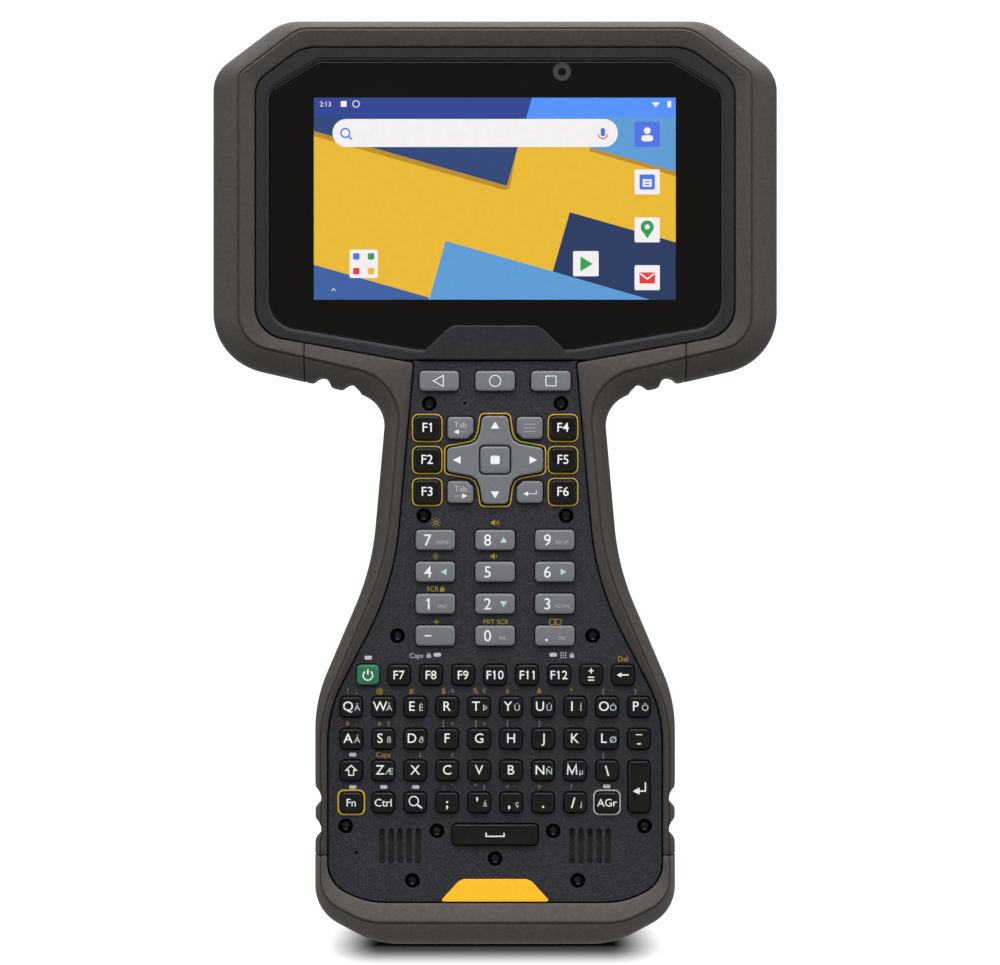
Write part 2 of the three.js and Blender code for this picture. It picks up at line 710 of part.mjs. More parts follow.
// Webbing that crosses the hollow of the neck, with a sewn loop round the bar at each end.
function handStrap() {
  const { x, low, high, bar, thick } = STRAP;
  const [loopOuter, loopInner] = [4.5, 2.3];
  const rise = DEPTH - bar - loopOuter;
  const half = (high - low) / 2;
  const radius = (half ** 2 + rise ** 2) / (2 * rise);
  const steps = 12;
  const arc = (inset) =>
    Array.from({ length: steps + 1 }, (_, k) => {
      const reach = half * (1 - (2 * k) / steps);
      return [DEPTH - inset - radius + Math.sqrt(radius ** 2 - reach ** 2), (low + high) / 2 - reach];
    });
  const webbing = sideways([...arc(0), ...arc(thick).reverse()], -x, x);
  const loops = [low, high].map((z) => {
    const [outer, inner] = [loopOuter, loopInner].map((r) => {
      const tube = new THREE.CylinderGeometry(r, r, 2 * x, 16);
      tube.rotateZ(Math.PI / 2);
      tube.translate(0, bar, z);
      return tube;
    });
    inner.scale(1.5, 1, 1);
    return [toSolid(outer), toSolid(inner)];
  });
  const bodies = loops.map(([outer]) => outer);
  const bores = loops.map(([, inner]) => inner);
  return cut(join(webbing, ...bodies), ...bores);
}

// Flap over the charging socket. It swings on its rear edge, so its inner corners are cut back.
function portDoor() {
  const [half, back, thick] = [PORT.width / 2, PORT.width / 2, PORT.thick];
  const section = shapeOf([
    [0, -half],
    [0, back],
    [-thick + 1, back],
    [-thick, back - 1],
    [-thick, -half + 1.2],
    [-thick + 1.2, -half],
  ]);
  const geometry = new THREE.ExtrudeGeometry(section, { depth: PORT.height, bevelEnabled: false });
  geometry.translate(0, 0, -PORT.height / 2);
  return toSolid(geometry);
}

// ---------------------------------------------------------------- materials
const finish = (color, roughness, metalness = 0) => ({ color, roughness, metalness });
const FINISHES = {
  rubber: finish(0x4a4745, 0.85),
  shell: finish(0x2b2b2e, 0.55),
  plate: finish(0x313035, 0.6),
  glass: finish(0x0c0c0c, 0.08),
  display: finish(0xedbb2d, 0.4),
  grey: finish(0x6c7178, 0.45),
  black: finish(0x1a1919, 0.2),
  green: finish(0x34875a, 0.4),
  yellow: finish(0xe4b632, 0.45),
  silicone: finish(0x5a5c60, 0.8),
  board: finish(0x1f5a37, 0.5),
  webbing: finish(0x1c1c1e, 0.95),
  steel: finish(0x8f9296, 0.35, 1),
  darkSteel: finish(0x222222, 0.4, 1),
};

function mesh(name, solid, finishName, position = [0, 0, 0]) {
  const material = new THREE.MeshStandardMaterial(FINISHES[finishName]);
  const made = new THREE.Mesh(toGeometry(solid), material);
  made.name = name;
  made.position.set(...position);
  return made;
}

function group(...children) {
  const made = new THREE.Group();
  made.add(...children);
  return made;
}

// ---------------------------------------------------------------- assembly
function casingGroup() {
  const rubber = Object.entries(bumperPieces()).map(([name, solid]) => mesh(name, solid, 'rubber'));
  const badge = shapeOf([[16.9, 0], [11.2, 6.2], [9.6, 6.9], [-9.6, 6.9], [-11.2, 6.2], [-16.9, 0]]);
  return group(
    ...rubber,
    mesh('front_housing', frontHousing(), 'shell'),
    mesh('rear_housing', rearHousing(), 'shell'),
    mesh('faceplate', faceplateSolid(), 'plate'),
    mesh('foot_badge', prism(badge, 1.75, 2.15), 'yellow', [0, 0, 13.7]),
    mesh('faceplate_screws', screwSolid(), 'darkSteel'),
  );
}

function keypadGroup() {
  const padPlace = [0, 0, PAD.z];
  const single = singleKeys.map(([name, x, z, width, height, colour]) =>
    mesh(name, keySolid(width, height, FLANGE), colour, [x, 0, z]),
  );
  const corner = cornerKeys.map(([name, side, rise]) => {
    const solid = keySolid(CORNER_KEY.width, CORNER_KEY.height, FLANGE, cornerClips(side, rise));
    return mesh(name, solid, 'grey', [side * CORNER_KEY.x, 0, PAD.z + rise * CORNER_KEY.z]);
  });
  const rows = keyRows.map(([name, z, x, count, pitch]) =>
    mesh(name, rowSolid(count, pitch), 'black', [x, 0, z]),
  );
  return group(
    ...single,
    ...corner,
    ...rows,
    mesh('dpad_carrier', carrierSolid(), 'silicone', padPlace),
    mesh('dpad', padSolid(), 'grey', padPlace),
    mesh('key_dpad_centre', padCentreSolid(), 'grey', padPlace),
    mesh('keymat', keymatSolid(), 'silicone'),
    mesh('keypad_board', keypadLayer(BOARD_DEPTH), 'board'),
  );
}

function electronicsGroup() {
  const { z, width, height, depth } = DISPLAY;
  const speakers = bothSides((side) => {
    const [w, h] = [SPEAKER.width / 2, SPEAKER.height / 2];
    const name = side > 0 ? 'speaker_right' : 'speaker_left';
    return mesh(name, box(-w, w, 4.1, 8.6, -h, h), 'black', [side * SPEAKER.x, 0, SPEAKER.z]);
  });
  const [frontX, frontZ] = FRONT_CAMERA;
  const [rearX, rearZ] = REAR_CAMERA;
  const [halfWidth, halfHeight] = [width / 2, height / 2];
  const panel = box(-halfWidth, halfWidth, ...depth, -halfHeight, halfHeight);
  return group(
    ...speakers,
    mesh('touch_glass', prism(glassShape(), ...GLASS_DEPTH), 'glass'),
    mesh('display_panel', panel, 'display', [0, 0, z]),
    mesh('front_camera', disc(0, 0, 2.9, 4.9, 9), 'black', [frontX, 0, frontZ]),
    mesh('rear_camera', disc(0, 0, 4.8, 24, 35.5, 20), 'black', [rearX, 0, rearZ]),
    mesh('main_board', mainBoard(), 'board'),
  );
}

function rearGroup() {
  return group(
    mesh('module_cover', modulePlate(), 'shell'),
    mesh('mount_plate', mountPlate(), 'steel', [0, 0, MOUNT.z]),
    mesh('battery_pack', batteryPack(), 'shell', [0, 0, (BAY.low + BAY.high) / 2]),
    mesh('battery_latch', batteryLatch(), 'yellow', [0, 0, (LATCH.low + LATCH.high) / 2]),
    mesh('hand_strap', handStrap(), 'webbing'),
    mesh('port_door', portDoor(), 'rubber', [CASING[5][0], PORT.depth, PORT.z]),
  );
}

const dataCollector = group(casingGroup(), keypadGroup(), electronicsGroup(), rearGroup());
dataCollector.position.y = -DEPTH / 2;

export default dataCollector;
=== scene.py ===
"""Looks of the handheld data collector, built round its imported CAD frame."""

import math

import bmesh
import bpy
from mathutils import Matrix, Vector


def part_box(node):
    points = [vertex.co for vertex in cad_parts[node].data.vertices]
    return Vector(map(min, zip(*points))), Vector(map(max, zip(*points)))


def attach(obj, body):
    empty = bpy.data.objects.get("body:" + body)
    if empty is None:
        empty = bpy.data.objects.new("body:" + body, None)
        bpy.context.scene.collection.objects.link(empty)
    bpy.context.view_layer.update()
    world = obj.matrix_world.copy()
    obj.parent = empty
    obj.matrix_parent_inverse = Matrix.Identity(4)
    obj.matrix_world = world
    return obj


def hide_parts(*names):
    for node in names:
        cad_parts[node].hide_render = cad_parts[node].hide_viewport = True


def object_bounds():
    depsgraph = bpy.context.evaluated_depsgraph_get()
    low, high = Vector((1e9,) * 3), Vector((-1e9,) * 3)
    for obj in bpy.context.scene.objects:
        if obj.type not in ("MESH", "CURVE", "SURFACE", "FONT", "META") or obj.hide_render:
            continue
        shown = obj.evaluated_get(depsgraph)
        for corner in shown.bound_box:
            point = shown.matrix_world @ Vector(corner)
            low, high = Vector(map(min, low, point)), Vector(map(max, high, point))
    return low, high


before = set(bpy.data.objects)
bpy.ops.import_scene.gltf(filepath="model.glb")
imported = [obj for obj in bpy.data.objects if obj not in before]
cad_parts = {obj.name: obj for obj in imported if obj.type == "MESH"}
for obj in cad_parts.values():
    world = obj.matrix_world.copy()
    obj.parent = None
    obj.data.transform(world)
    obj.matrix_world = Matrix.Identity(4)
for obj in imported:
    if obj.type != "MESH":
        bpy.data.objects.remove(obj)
cad_low, cad_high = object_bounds()
MM = 0.001

# ---------------------------------------------------------------- dimensions shared with the CAD
# Millimetres. A depth is measured back from the front crest of the bumper.
# Right half of the casing's outline, from the top down: x, z and corner radius.
CASING = [
    (65.5, 284, 15),
    (86.8, 268, 11),
    (86.8, 179.6, 18.5),
    (33.4, 167.3, 10),
    (38.0, 116, 79),
    (55.4, 75.1, 44),
    (55.4, 10.1, 13.3),
    (36.3, 0, 28),
]
GLASS = [(54.4, 271.1, 6), (69.2, 262, 6), (69.2, 190.6, 9), (24, 183, 3)]
# Insets of two features from each edge of the outline, at the edge's start and end.
CREASE = [(v, v) for v in (3.0, 5.6, 8.3, 7.1, 4.6, 3.6, 2.1, 5.0, 7.3)]
LIP = [(8.3, 8.3), (10.4, 10.4), (13.1, 13.1), (10.1, 12.7), (7.2, 7.2), (8.2, 4.9)]
LIP += [(3.9, 3.9), (10.0, 10.0), (13.2, 13.2)]
# Corners of the casing where the lip has a radius of its own.
LIP_RADII = {0: 14, 1: 8, 2: 10, 3: 1, 6: 10, 7: 26}
SHELL = 3.55
HEAD_FLOOR = 179.6
SADDLE_LOW, SADDLE_HIGH, SADDLE_RADIUS = 90, 168, 155


def place(x, depth, z):
    """A point of the shared frame, in metres, from millimetres."""
    return (x * MM, cad_low.y + depth * MM, z * MM)


def middle_of(node):
    """Middle of a CAD node in millimetres: x and z."""
    low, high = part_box(node)
    return (low.x + high.x) / 2 / MM, (low.z + high.z) / 2 / MM


def size_of(node):
    """Width and height of a CAD node in millimetres."""
    low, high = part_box(node)
    return (high.x - low.x) / MM, (high.z - low.z) / MM


# ---------------------------------------------------------------- materials
class Finish:
    """A Principled material whose patterns are laid out in the piece's own coordinates."""

    def __init__(self, name, colour, roughness, **sockets):
        self.material = bpy.data.materials.new(name)
        self.material.use_nodes = True
        self.tree = self.material.node_tree
        self.shader = self.tree.nodes["Principled BSDF"]
        self.shader.inputs["Base Color"].default_value = (*colour, 1)
        self.shader.inputs["Roughness"].default_value = roughness
        for socket, value in sockets.items():
            self.shader.inputs[socket.replace("_", " ")].default_value = value
        self.where = self.new("ShaderNodeTexCoord").outputs["Object"]

    def new(self, kind, **settings):
        node = self.tree.nodes.new(kind)
        for key, value in settings.items():
            setattr(node, key, value)
        return node

    def link(self, output, target):
        self.tree.links.new(output, target)

    def stretched(self, scale):
        mapping = self.new("ShaderNodeMapping")
        mapping.inputs["Scale"].default_value = scale
        self.link(self.where, mapping.inputs["Vector"])
        return mapping.outputs["Vector"]

    def noise(self, scale, detail=2.0, stretch=None, rough=0.5):
        node = self.new("ShaderNodeTexNoise")
        node.inputs["Scale"].default_value = scale
        node.inputs["Detail"].default_value = detail
        node.inputs["Roughness"].default_value = rough
        self.link(self.stretched(stretch) if stretch else self.where, node.inputs["Vector"])
        return node.outputs["Fac"]

    def cells(self, scale):
        node = self.new("ShaderNodeTexVoronoi")
        node.inputs["Scale"].default_value = scale
        self.link(self.where, node.inputs["Vector"])
        return node

    def ranged(self, value, low, high, start=0.3, end=0.7, shape="LINEAR"):
        node = self.new("ShaderNodeMapRange", interpolation_type=shape)
        for socket, number in zip(("From Min", "From Max", "To Min", "To Max"), (start, end, low, high)):
            node.inputs[socket].default_value = number
        self.link(value, node.inputs["Value"])
        return node.outputs["Result"]

    def blend(self, share, first, second):
        node = self.new("ShaderNodeMix", data_type="RGBA")
        self.link(share, node.inputs["Factor"])
        for socket, colour in ((node.inputs[6], first), (node.inputs[7], second)):
            if isinstance(colour, tuple):
                socket.default_value = (*colour, 1)
            else:
                self.link(colour, socket)
        return node.outputs[2]

    def vary_colour(self, dark, light, scale):
        shade = self.blend(self.ranged(self.noise(scale, 3.0), 0, 1), dark, light)
        self.link(shade, self.shader.inputs["Base Color"])
        return shade

    def vary_roughness(self, low, high, scale):
        rough = self.ranged(self.noise(scale, 3.0), low, high)
        self.link(rough, self.shader.inputs["Roughness"])

    def bump(self, height, distance, strength=1.0, under=None):
        node = self.new("ShaderNodeBump")
        node.inputs["Strength"].default_value = strength
        node.inputs["Distance"].default_value = distance
        self.link(height, node.inputs["Height"])
        if under is not None:
            self.link(under, node.inputs["Normal"])
        self.link(node.outputs["Normal"], self.shader.inputs["Normal"])
        return node.outputs["Normal"]


def moulded(name, dark, light, rough, grain, depth, **sockets):
    """A moulded surface: faintly mottled colour, patchy gloss and a fine eroded grain."""
    made = Finish(name, dark, rough[0], **sockets)
    made.vary_colour(dark, light, 900)
    made.vary_roughness(*rough, 500)
    made.bump(made.noise(grain, 2.0), depth)
    return made


def rubber(name, shade=1.0, shine=0.09):
    dark = tuple(c * shade for c in (0.036, 0.0325, 0.030))
    light = tuple(c * shade for c in (0.046, 0.0415, 0.0385))
    made = moulded(name, dark, light, (0.58, 0.72), 2600, 0.00004, Specular_IOR_Level=shine)
    return made.material


def speckled_plate():
    """Dark blue-grey plastic with fine light and dark specks, half a millimetre apart."""
    made = Finish("plate_speckled", (0.028, 0.027, 0.033), 0.5, Specular_IOR_Level=0.09)
    specks = made.cells(1900)
    fleck = made.ranged(specks.outputs["Distance"], 1, 0, 0.10, 0.34)
    pick = made.ranged(specks.outputs["Color"], 0, 1, 0.52, 0.62)
    both = made.new("ShaderNodeMath", operation="MULTIPLY")
    made.link(fleck, both.inputs[0])
    made.link(pick, both.inputs[1])
    patches = made.ranged(made.noise(1500, 3), 0, 1)
    ground = made.blend(patches, (0.016, 0.0157, 0.0195), (0.027, 0.0263, 0.0325))
    made.link(made.blend(both.outputs[0], ground, (0.075, 0.075, 0.09)), made.shader.inputs["Base Color"])
    made.vary_roughness(0.42, 0.56, 300)
    made.bump(made.noise(3200, 2), 0.00003)
    return made.material


def ink(name, colour, roughness=0.45):
    """Legend print: opaque, its colour slightly uneven."""
    made = Finish(name, colour, roughness, Specular_IOR_Level=0.15)
    made.vary_colour(tuple(c * 0.93 for c in colour), colour, 1400)
    return made.material


def gloss_glass():
    made = Finish("glass_black", (0.0035, 0.0028, 0.0025), 0.07, Specular_IOR_Level=0.5)
    made.vary_roughness(0.05, 0.10, 45)
    return made.material


def lit(name, colour):
    """A lit colour of the display, a little uneven over its pixel rows."""
    made = Finish(name, (0.01, 0.01, 0.01), 0.12, Specular_IOR_Level=0.2)
    rows = made.noise(420, 1.0, (1, 1, 1))
    shade = made.blend(made.ranged(rows, 0, 1), tuple(c * 0.97 for c in colour), colour)
    made.link(shade, made.shader.inputs["Emission Color"])
    made.shader.inputs["Emission Strength"].default_value = 0.97
    return made.material


def webbing(name, dark, light):
    """Plain-woven nylon: ribs across the strap, each about 1.4 mm, over a fine thread bump."""
    made = Finish(name, dark, 0.9, Sheen_Weight=0.25)
    made.vary_colour(dark, light, 900)
    ribs = made.new("ShaderNodeTexWave", wave_type="BANDS", bands_direction="Z")
    ribs.inputs["Scale"].default_value = 230
    ribs.inputs["Distortion"].default_value = 0.4
    made.link(made.where, ribs.inputs["Vector"])
    threads = made.new("ShaderNodeTexWave", wave_type="BANDS", bands_direction="X")
    threads.inputs["Scale"].default_value = 420
    made.link(made.where, threads.inputs["Vector"])
    under = made.bump(ribs.outputs["Fac"], 0.0002)
    made.bump(threads.outputs["Fac"], 0.00012, 0.8, under)
    return made.material


def brushed(name, dark, light, rough):
    made = Finish(name, dark, rough[0], Metallic=1.0)
    made.vary_colour(dark, light, 700)
    lines = made.noise(90, 4, (60, 1, 1), 0.7)
    made.link(made.ranged(lines, *rough), made.shader.inputs["Roughness"])
    made.bump(lines, 0.000012)
    return made.material


def circuit():
    made = Finish("board_green", (0.012, 0.09, 0.03), 0.45)
    tracks = made.new("ShaderNodeTexBrick")
    tracks.inputs["Scale"].default_value = 260
    tracks.inputs["Color1"].default_value = (0.010, 0.085, 0.030, 1)
    tracks.inputs["Color2"].default_value = (0.014, 0.11, 0.04, 1)
    tracks.inputs["Mortar"].default_value = (0.03, 0.17, 0.06, 1)
    made.link(made.stretched((1, 1, 1)), tracks.inputs["Vector"])
    made.link(tracks.outputs["Color"], made.shader.inputs["Base Color"])
    return made.material


def speaker_cloth():
    made = Finish("speaker_mesh", (0.012, 0.012, 0.012), 0.6)
    made.bump(made.cells(2400).outputs["Distance"], 0.0002)
    return made.material


# Moulded paints: name, dark and light colour, range of roughness, scale and depth of the grain,
# and the level of shine. 0.5 is Blender's own level.
MOULDED = {
    "shell": (
        "shell_eroded", (0.0150, 0.0150, 0.0170), (0.0200, 0.0200, 0.0225), (0.44, 0.56), 3000, 0.00003, 0.08,
    ),
    "grey": (
        "key_grey_satin", (0.110, 0.115, 0.125), (0.122, 0.127, 0.138), (0.36, 0.46), 3600, 0.000012, 0.18,
    ),
    "black": (
        "key_black_gloss", (0.0055, 0.005, 0.0052), (0.0075, 0.0068, 0.0072), (0.20, 0.30), 4200, 6e-6, 0.13,
    ),
    "green": (
        "key_green_satin", (0.020, 0.110, 0.054), (0.023, 0.125, 0.062), (0.36, 0.46), 3600, 0.00001, 0.15,
    ),
    "yellow": (
        "yellow_satin", (0.74, 0.40, 0.011), (0.78, 0.425, 0.013), (0.40, 0.5), 3600, 0.00001, 0.25,
    ),
    "silicone": (
        "silicone_grey", (0.07, 0.07, 0.075), (0.09, 0.09, 0.095), (0.6, 0.75), 2000, 0.00002, 0.5,
    ),
    # near black: the front camera's black surround, and painted shade in the faceplate's screw wells, behind
    # the microphone holes and in the module screws' sockets
    "dark": (
        "well_dark", (0.006, 0.006, 0.006), (0.009, 0.009, 0.009), (0.5, 0.7), 2000, 0.00002, 0.5,
    ),
    "lens": (
        "lens_barrel", (0.008, 0.008, 0.010), (0.012, 0.012, 0.014), (0.22, 0.32), 2000, 0.00001, 0.5,
    ),
    "lens_rim": (
        "lens_rim", (0.014, 0.014, 0.016), (0.018, 0.018, 0.020), (0.2, 0.3), 1500, 0.00001, 0.5,
    ),
}
PAINT = {
    "rubber": rubber("rubber_moulded"),
    # painted light: the foot bumper's rubber is the same rubber made 1.5 times lighter and a little shinier,
    # for the light on its end band
    "rubber_foot": rubber("rubber_foot", 1.5, 0.14),
    "plate": speckled_plate(),
    "glass": gloss_glass(),
    "print_white": ink("print_white", (0.62, 0.63, 0.64)),
    "lamp": ink("lamp_white", (0.42, 0.43, 0.47), 0.3),
    "print_mint": ink("print_mint", (0.38, 0.48, 0.46)),
    "print_blue": ink("print_blue_white", (0.36, 0.42, 0.42)),
    "print_yellow": ink("print_yellow", (0.47, 0.32, 0.02)),
    "print_gold": ink("print_gold", (0.30, 0.22, 0.02)),
    "print_soft": ink("print_soft", (0.34, 0.35, 0.37)),
    "print_dim": ink("print_dim", (0.16, 0.165, 0.18)),
    "webbing": webbing("webbing_black", (0.014, 0.014, 0.015), (0.022, 0.022, 0.024)),
    "sleeve": webbing("sleeve_neoprene", (0.018, 0.018, 0.019), (0.028, 0.028, 0.03)),
    "thread": webbing("thread_grey", (0.09, 0.09, 0.095), (0.13, 0.13, 0.135)),
    "steel": brushed("steel_brushed", (0.26, 0.26, 0.27), (0.33, 0.33, 0.34), (0.30, 0.46)),
    "dark_steel": brushed("steel_blackened", (0.020, 0.019, 0.019), (0.032, 0.031, 0.030), (0.22, 0.36)),
    "board": circuit(),
    "speaker": speaker_cloth(),
}
for paint, (*settings, shine) in MOULDED.items():
    PAINT[paint] = moulded(*settings, Specular_IOR_Level=shine).material


# ---------------------------------------------------------------- flat outlines
def cross(a, b):
    return a.x * b.y - a.y * b.x


def turned(vector, angle):
    c, s = math.cos(angle), math.sin(angle)
    return Vector((vector.x * c - vector.y * s, vector.x * s + vector.y * c))


def edge_lines(corners, insets):
    """Each edge of a right half outline, moved in: start, direction, inward normal, insets."""
    path = [(0, corners[0][1]), *[c[:2] for c in corners], (0, corners[-1][1])]
    lines = []
    for a, b, (near, far) in zip(path, path[1:], insets):
        start, end = Vector(a), Vector(b)
        run = (end - start).normalized()
        across = Vector((run.y, -run.x))
        start += across * near
        end += across * far
        along = (end - start).normalized()
        lines.append((start, along, Vector((along.y, -along.x)), near, far))
    return lines


def corner_arc(first, second, radius, steps, own_radius, share):
    """Points round a corner. Its radius leans by a share towards one of its own."""
    p, u, inward, _, far = first
    q, v, _, near, _ = second
    turn = u.angle(v)
    side = 1 if cross(u, v) < 0 else -1
    bend = max(radius - side * (far + near) / 2, 0.8)
    bend += (own_radius - bend) * share
    corner = p + u * (cross(q - p, v) / cross(u, v))
    start = corner - u * (bend * math.tan(turn / 2))
    centre = start + inward * (side * bend)
    return [centre + turned(start - centre, -side * turn * k / steps) for k in range(steps + 1)]


def along_run(start, end, stops):
    """Points between two others: a number of equal steps, or the places where x or z is given."""
    if isinstance(stops, int):
        return [start.lerp(end, k / stops) for k in range(1, stops)]
    axis, values = stops
    span = end[axis] - start[axis]
    return [start.lerp(end, (value - start[axis]) / span) for value in values]


def half_outline(corners, insets, corner_steps, runs, lip_share=0.0):
    """Right half of an outline from its top middle to its bottom middle, as 2-D points."""
    lines = edge_lines(corners, insets)
    points = [Vector((0, lines[0][0].y))]
    for i, (_, _, radius) in enumerate(corners):
        share = lip_share if i in LIP_RADII else 0.0
        arc = corner_arc(lines[i], lines[i + 1], radius, corner_steps[i], LIP_RADII.get(i, radius), share)
        points += along_run(points[-1], arc[0], runs.get(i, 1))
        points += arc
    end = Vector((0, lines[-1][0].y + (0 - lines[-1][0].x) * lines[-1][1].y / lines[-1][1].x))
    points += along_run(points[-1], end, runs.get(len(corners), 1))
    points.append(end)
    return points


def evenly(inset, edges=9):
    return [(inset, inset)] * edges


def grown(insets, by):
    return [(a + by, b + by) for a, b in insets]


def both_halves(right):
    """A whole outline from its right half, clockwise as the user sees it."""
    return right + [Vector((-p.x, p.y)) for p in right[-2:0:-1]]


CASING_CORNERS = [10, 10, 16, 16, 10, 8, 12, 8]


def casing_outline(insets, lip_share=0.0):
    runs = {0: 8, 1: 3, 2: 10, 3: 8, 4: 8, 5: 6, 6: 8, 7: 3, 8: 4}
    return both_halves(half_outline(CASING, insets, CASING_CORNERS, runs, lip_share))


def lip_outline(by):
    """The casing's outline along the lip's inner edge, moved in a little."""
    return casing_outline(grown(LIP, by), 1.0)


def glass_outline(outwards=0.0):
    return both_halves(half_outline(GLASS, evenly(-outwards, 5), [8, 8, 10, 6], {}))


def clipped(points, level, keep_above):
    """The part of an outline above or below a height."""
    inside = (lambda p: p.y >= level) if keep_above else (lambda p: p.y <= level)
    kept = []
    for a, b in zip(points, points[1:] + points[:1]):
        if inside(a):
            kept.append(a)
        if inside(a) != inside(b):
            kept.append(a.lerp(b, (level - a.y) / (b.y - a.y)))
    return kept


def moved_in(points, amount):
    """A clockwise outline with every side moved inwards."""
    count = len(points)
    moved = []
    for i in range(count):
        before, here, after = (Vector(points[(i + k) % count]) for k in (-1, 0, 1))
        u, v = (here - before).normalized(), (after - here).normalized()
        first = here + Vector((u.y, -u.x)) * amount
        second = here + Vector((v.y, -v.x)) * amount
        turn = cross(u, v)
        moved.append(first if abs(turn) < 1e-6 else first + u * (cross(second - first, v) / turn))
    return moved


def filleted(points, radii, steps=5):
    """A clockwise outline with rounded corners."""
    count = len(points)
    rounded = []
    for i in range(count):
        before, here, after = (Vector(points[(i + k) % count]) for k in (-1, 0, 1))
        u, v = (here - before).normalized(), (after - here).normalized()
        turn = u.angle(v)
        side = 1 if cross(u, v) < 0 else -1
        room = min((here - before).length, (after - here).length) * 0.49
        reach = min(radii[i] * math.tan(turn / 2), room)
        bend = reach / max(math.tan(turn / 2), 1e-6)
        start = here - u * reach
        centre = start + Vector((u.y, -u.x)) * (side * bend)
        rounded += [centre + turned(start - centre, -side * turn * k / steps) for k in range(steps + 1)]
    return rounded


def rectangle(width, height, x=0.0, z=0.0):
    w, h = width / 2, height / 2
    return [Vector(p) for p in ((x + w, z + h), (x + w, z - h), (x - w, z - h), (x - w, z + h))]


def rounded_rectangle(width, height, radius, x=0.0, z=0.0, steps=5):
    return filleted(rectangle(width, height, x, z), [radius] * 4, steps)


def circle(radius, x=0.0, z=0.0, sides=24):
    angles = [-2 * math.pi * k / sides for k in range(sides)]
    return [Vector((x + radius * math.cos(a), z + radius * math.sin(a))) for a in angles]


# ---------------------------------------------------------------- marks: flat polygons for print
def area_of(polygon):
    return sum(cross(Vector(a), Vector(b)) for a, b in zip(polygon, polygon[1:] + polygon[:1])) / 2


def mark(points):
    """One filled polygon as a list of marks."""
    return [[Vector(p) for p in points]]


def stroke(points, width, closed=False):
    """A line of a given width through the points."""
    points = [Vector(p) for p in points]
    count = len(points)
    sides = []
    for i, here in enumerate(points):
        before = points[(i - 1) % count] if closed or i else None
        after = points[(i + 1) % count] if closed or i < count - 1 else None
        u = (here - before).normalized() if before is not None else (after - here).normalized()
        v = (after - here).normalized() if after is not None else u
        across = Vector((-(u + v).y, (u + v).x)).normalized()
        across *= width / 2 / max(across.dot(Vector((-u.y, u.x))), 0.35)
        sides.append((here + across, here - across))
    pairs = list(zip(sides, sides[1:] + sides[:1])) if closed else list(zip(sides, sides[1:]))
    return [[a[0], b[0], b[1], a[1]] for a, b in pairs]


def arc_line(radius, start, end, steps=16, x=0.0, z=0.0):
    """Points on an arc, in degrees, anticlockwise."""
    angles = [math.radians(start + (end - start) * k / steps) for k in range(steps + 1)]
    return [(x + radius * math.cos(a), z + radius * math.sin(a)) for a in angles]


def ring(radius, width, x=0.0, z=0.0):
    return stroke(circle(radius, x, z), width, closed=True)


def shifted(marks, x=0.0, z=0.0, scale=1.0):
    return [[Vector((x + p.x * scale, z + p.y * scale)) for p in polygon] for polygon in marks]


def evaluated_mesh(obj):
    bpy.context.scene.collection.objects.link(obj)
    depsgraph = bpy.context.evaluated_depsgraph_get()
    return bpy.data.meshes.new_from_object(obj.evaluated_get(depsgraph))


def discard(obj):
    data = obj.data
    bpy.data.objects.remove(obj)
    (bpy.data.meshes if isinstance(data, bpy.types.Mesh) else bpy.data.curves).remove(data)


glyph_store = {}


def glyph_marks(text, bold):
    """Polygons of a piece of text at size 1, from its left end on the base line."""
    if (text, bold) not in glyph_store:
        curve = bpy.data.curves.new("glyph", "FONT")
        curve.body = text
        curve.size = 1
        curve.offset = bold
        curve.resolution_u = 3
        curve.fill_mode = "FRONT"
        obj = bpy.data.objects.new("glyph", curve)
        mesh = evaluated_mesh(obj)
        where = [Vector(v.co[:2]) for v in mesh.vertices]
        glyph_store[(text, bold)] = [[where[i] for i in p.vertices] for p in mesh.polygons]
        bpy.data.meshes.remove(mesh)
        discard(obj)
        if "1" in text:
            glyph_store[(text, bold)] += flags_of_ones(text, bold)
    return glyph_store[(text, bold)]


def flags_of_ones(text, bold):
    """The short flag at the top of each figure 1, which the font draws as a bare stem."""
    flags = []
    top = extent(glyph_marks("E", bold))[3]
    for i, letter in enumerate(text):
        if letter == "1":
            stem = extent(glyph_marks(text[: i + 1], bold))[1] - 0.045
            flags += stroke([(stem, top - 0.04), (stem - 0.15, top - 0.15)], 0.085)
    return flags


def extent(marks):
    xs = [p.x for polygon in marks for p in polygon]
    zs = [p.y for polygon in marks for p in polygon]
    return min(xs), max(xs), min(zs), max(zs)


def lettering(text, cap, x=0.0, z=0.0, bold=0.012):
    """Text with a given capital height in millimetres, its middle at x and z."""
    marks = glyph_marks(text, bold)
    tall = extent(glyph_marks("E", bold))[3]
    left, right, _, _ = extent(marks)
    scale = cap / tall
    return shifted(marks, x - (left + right) / 2 * scale, z - tall / 2 * scale, scale)


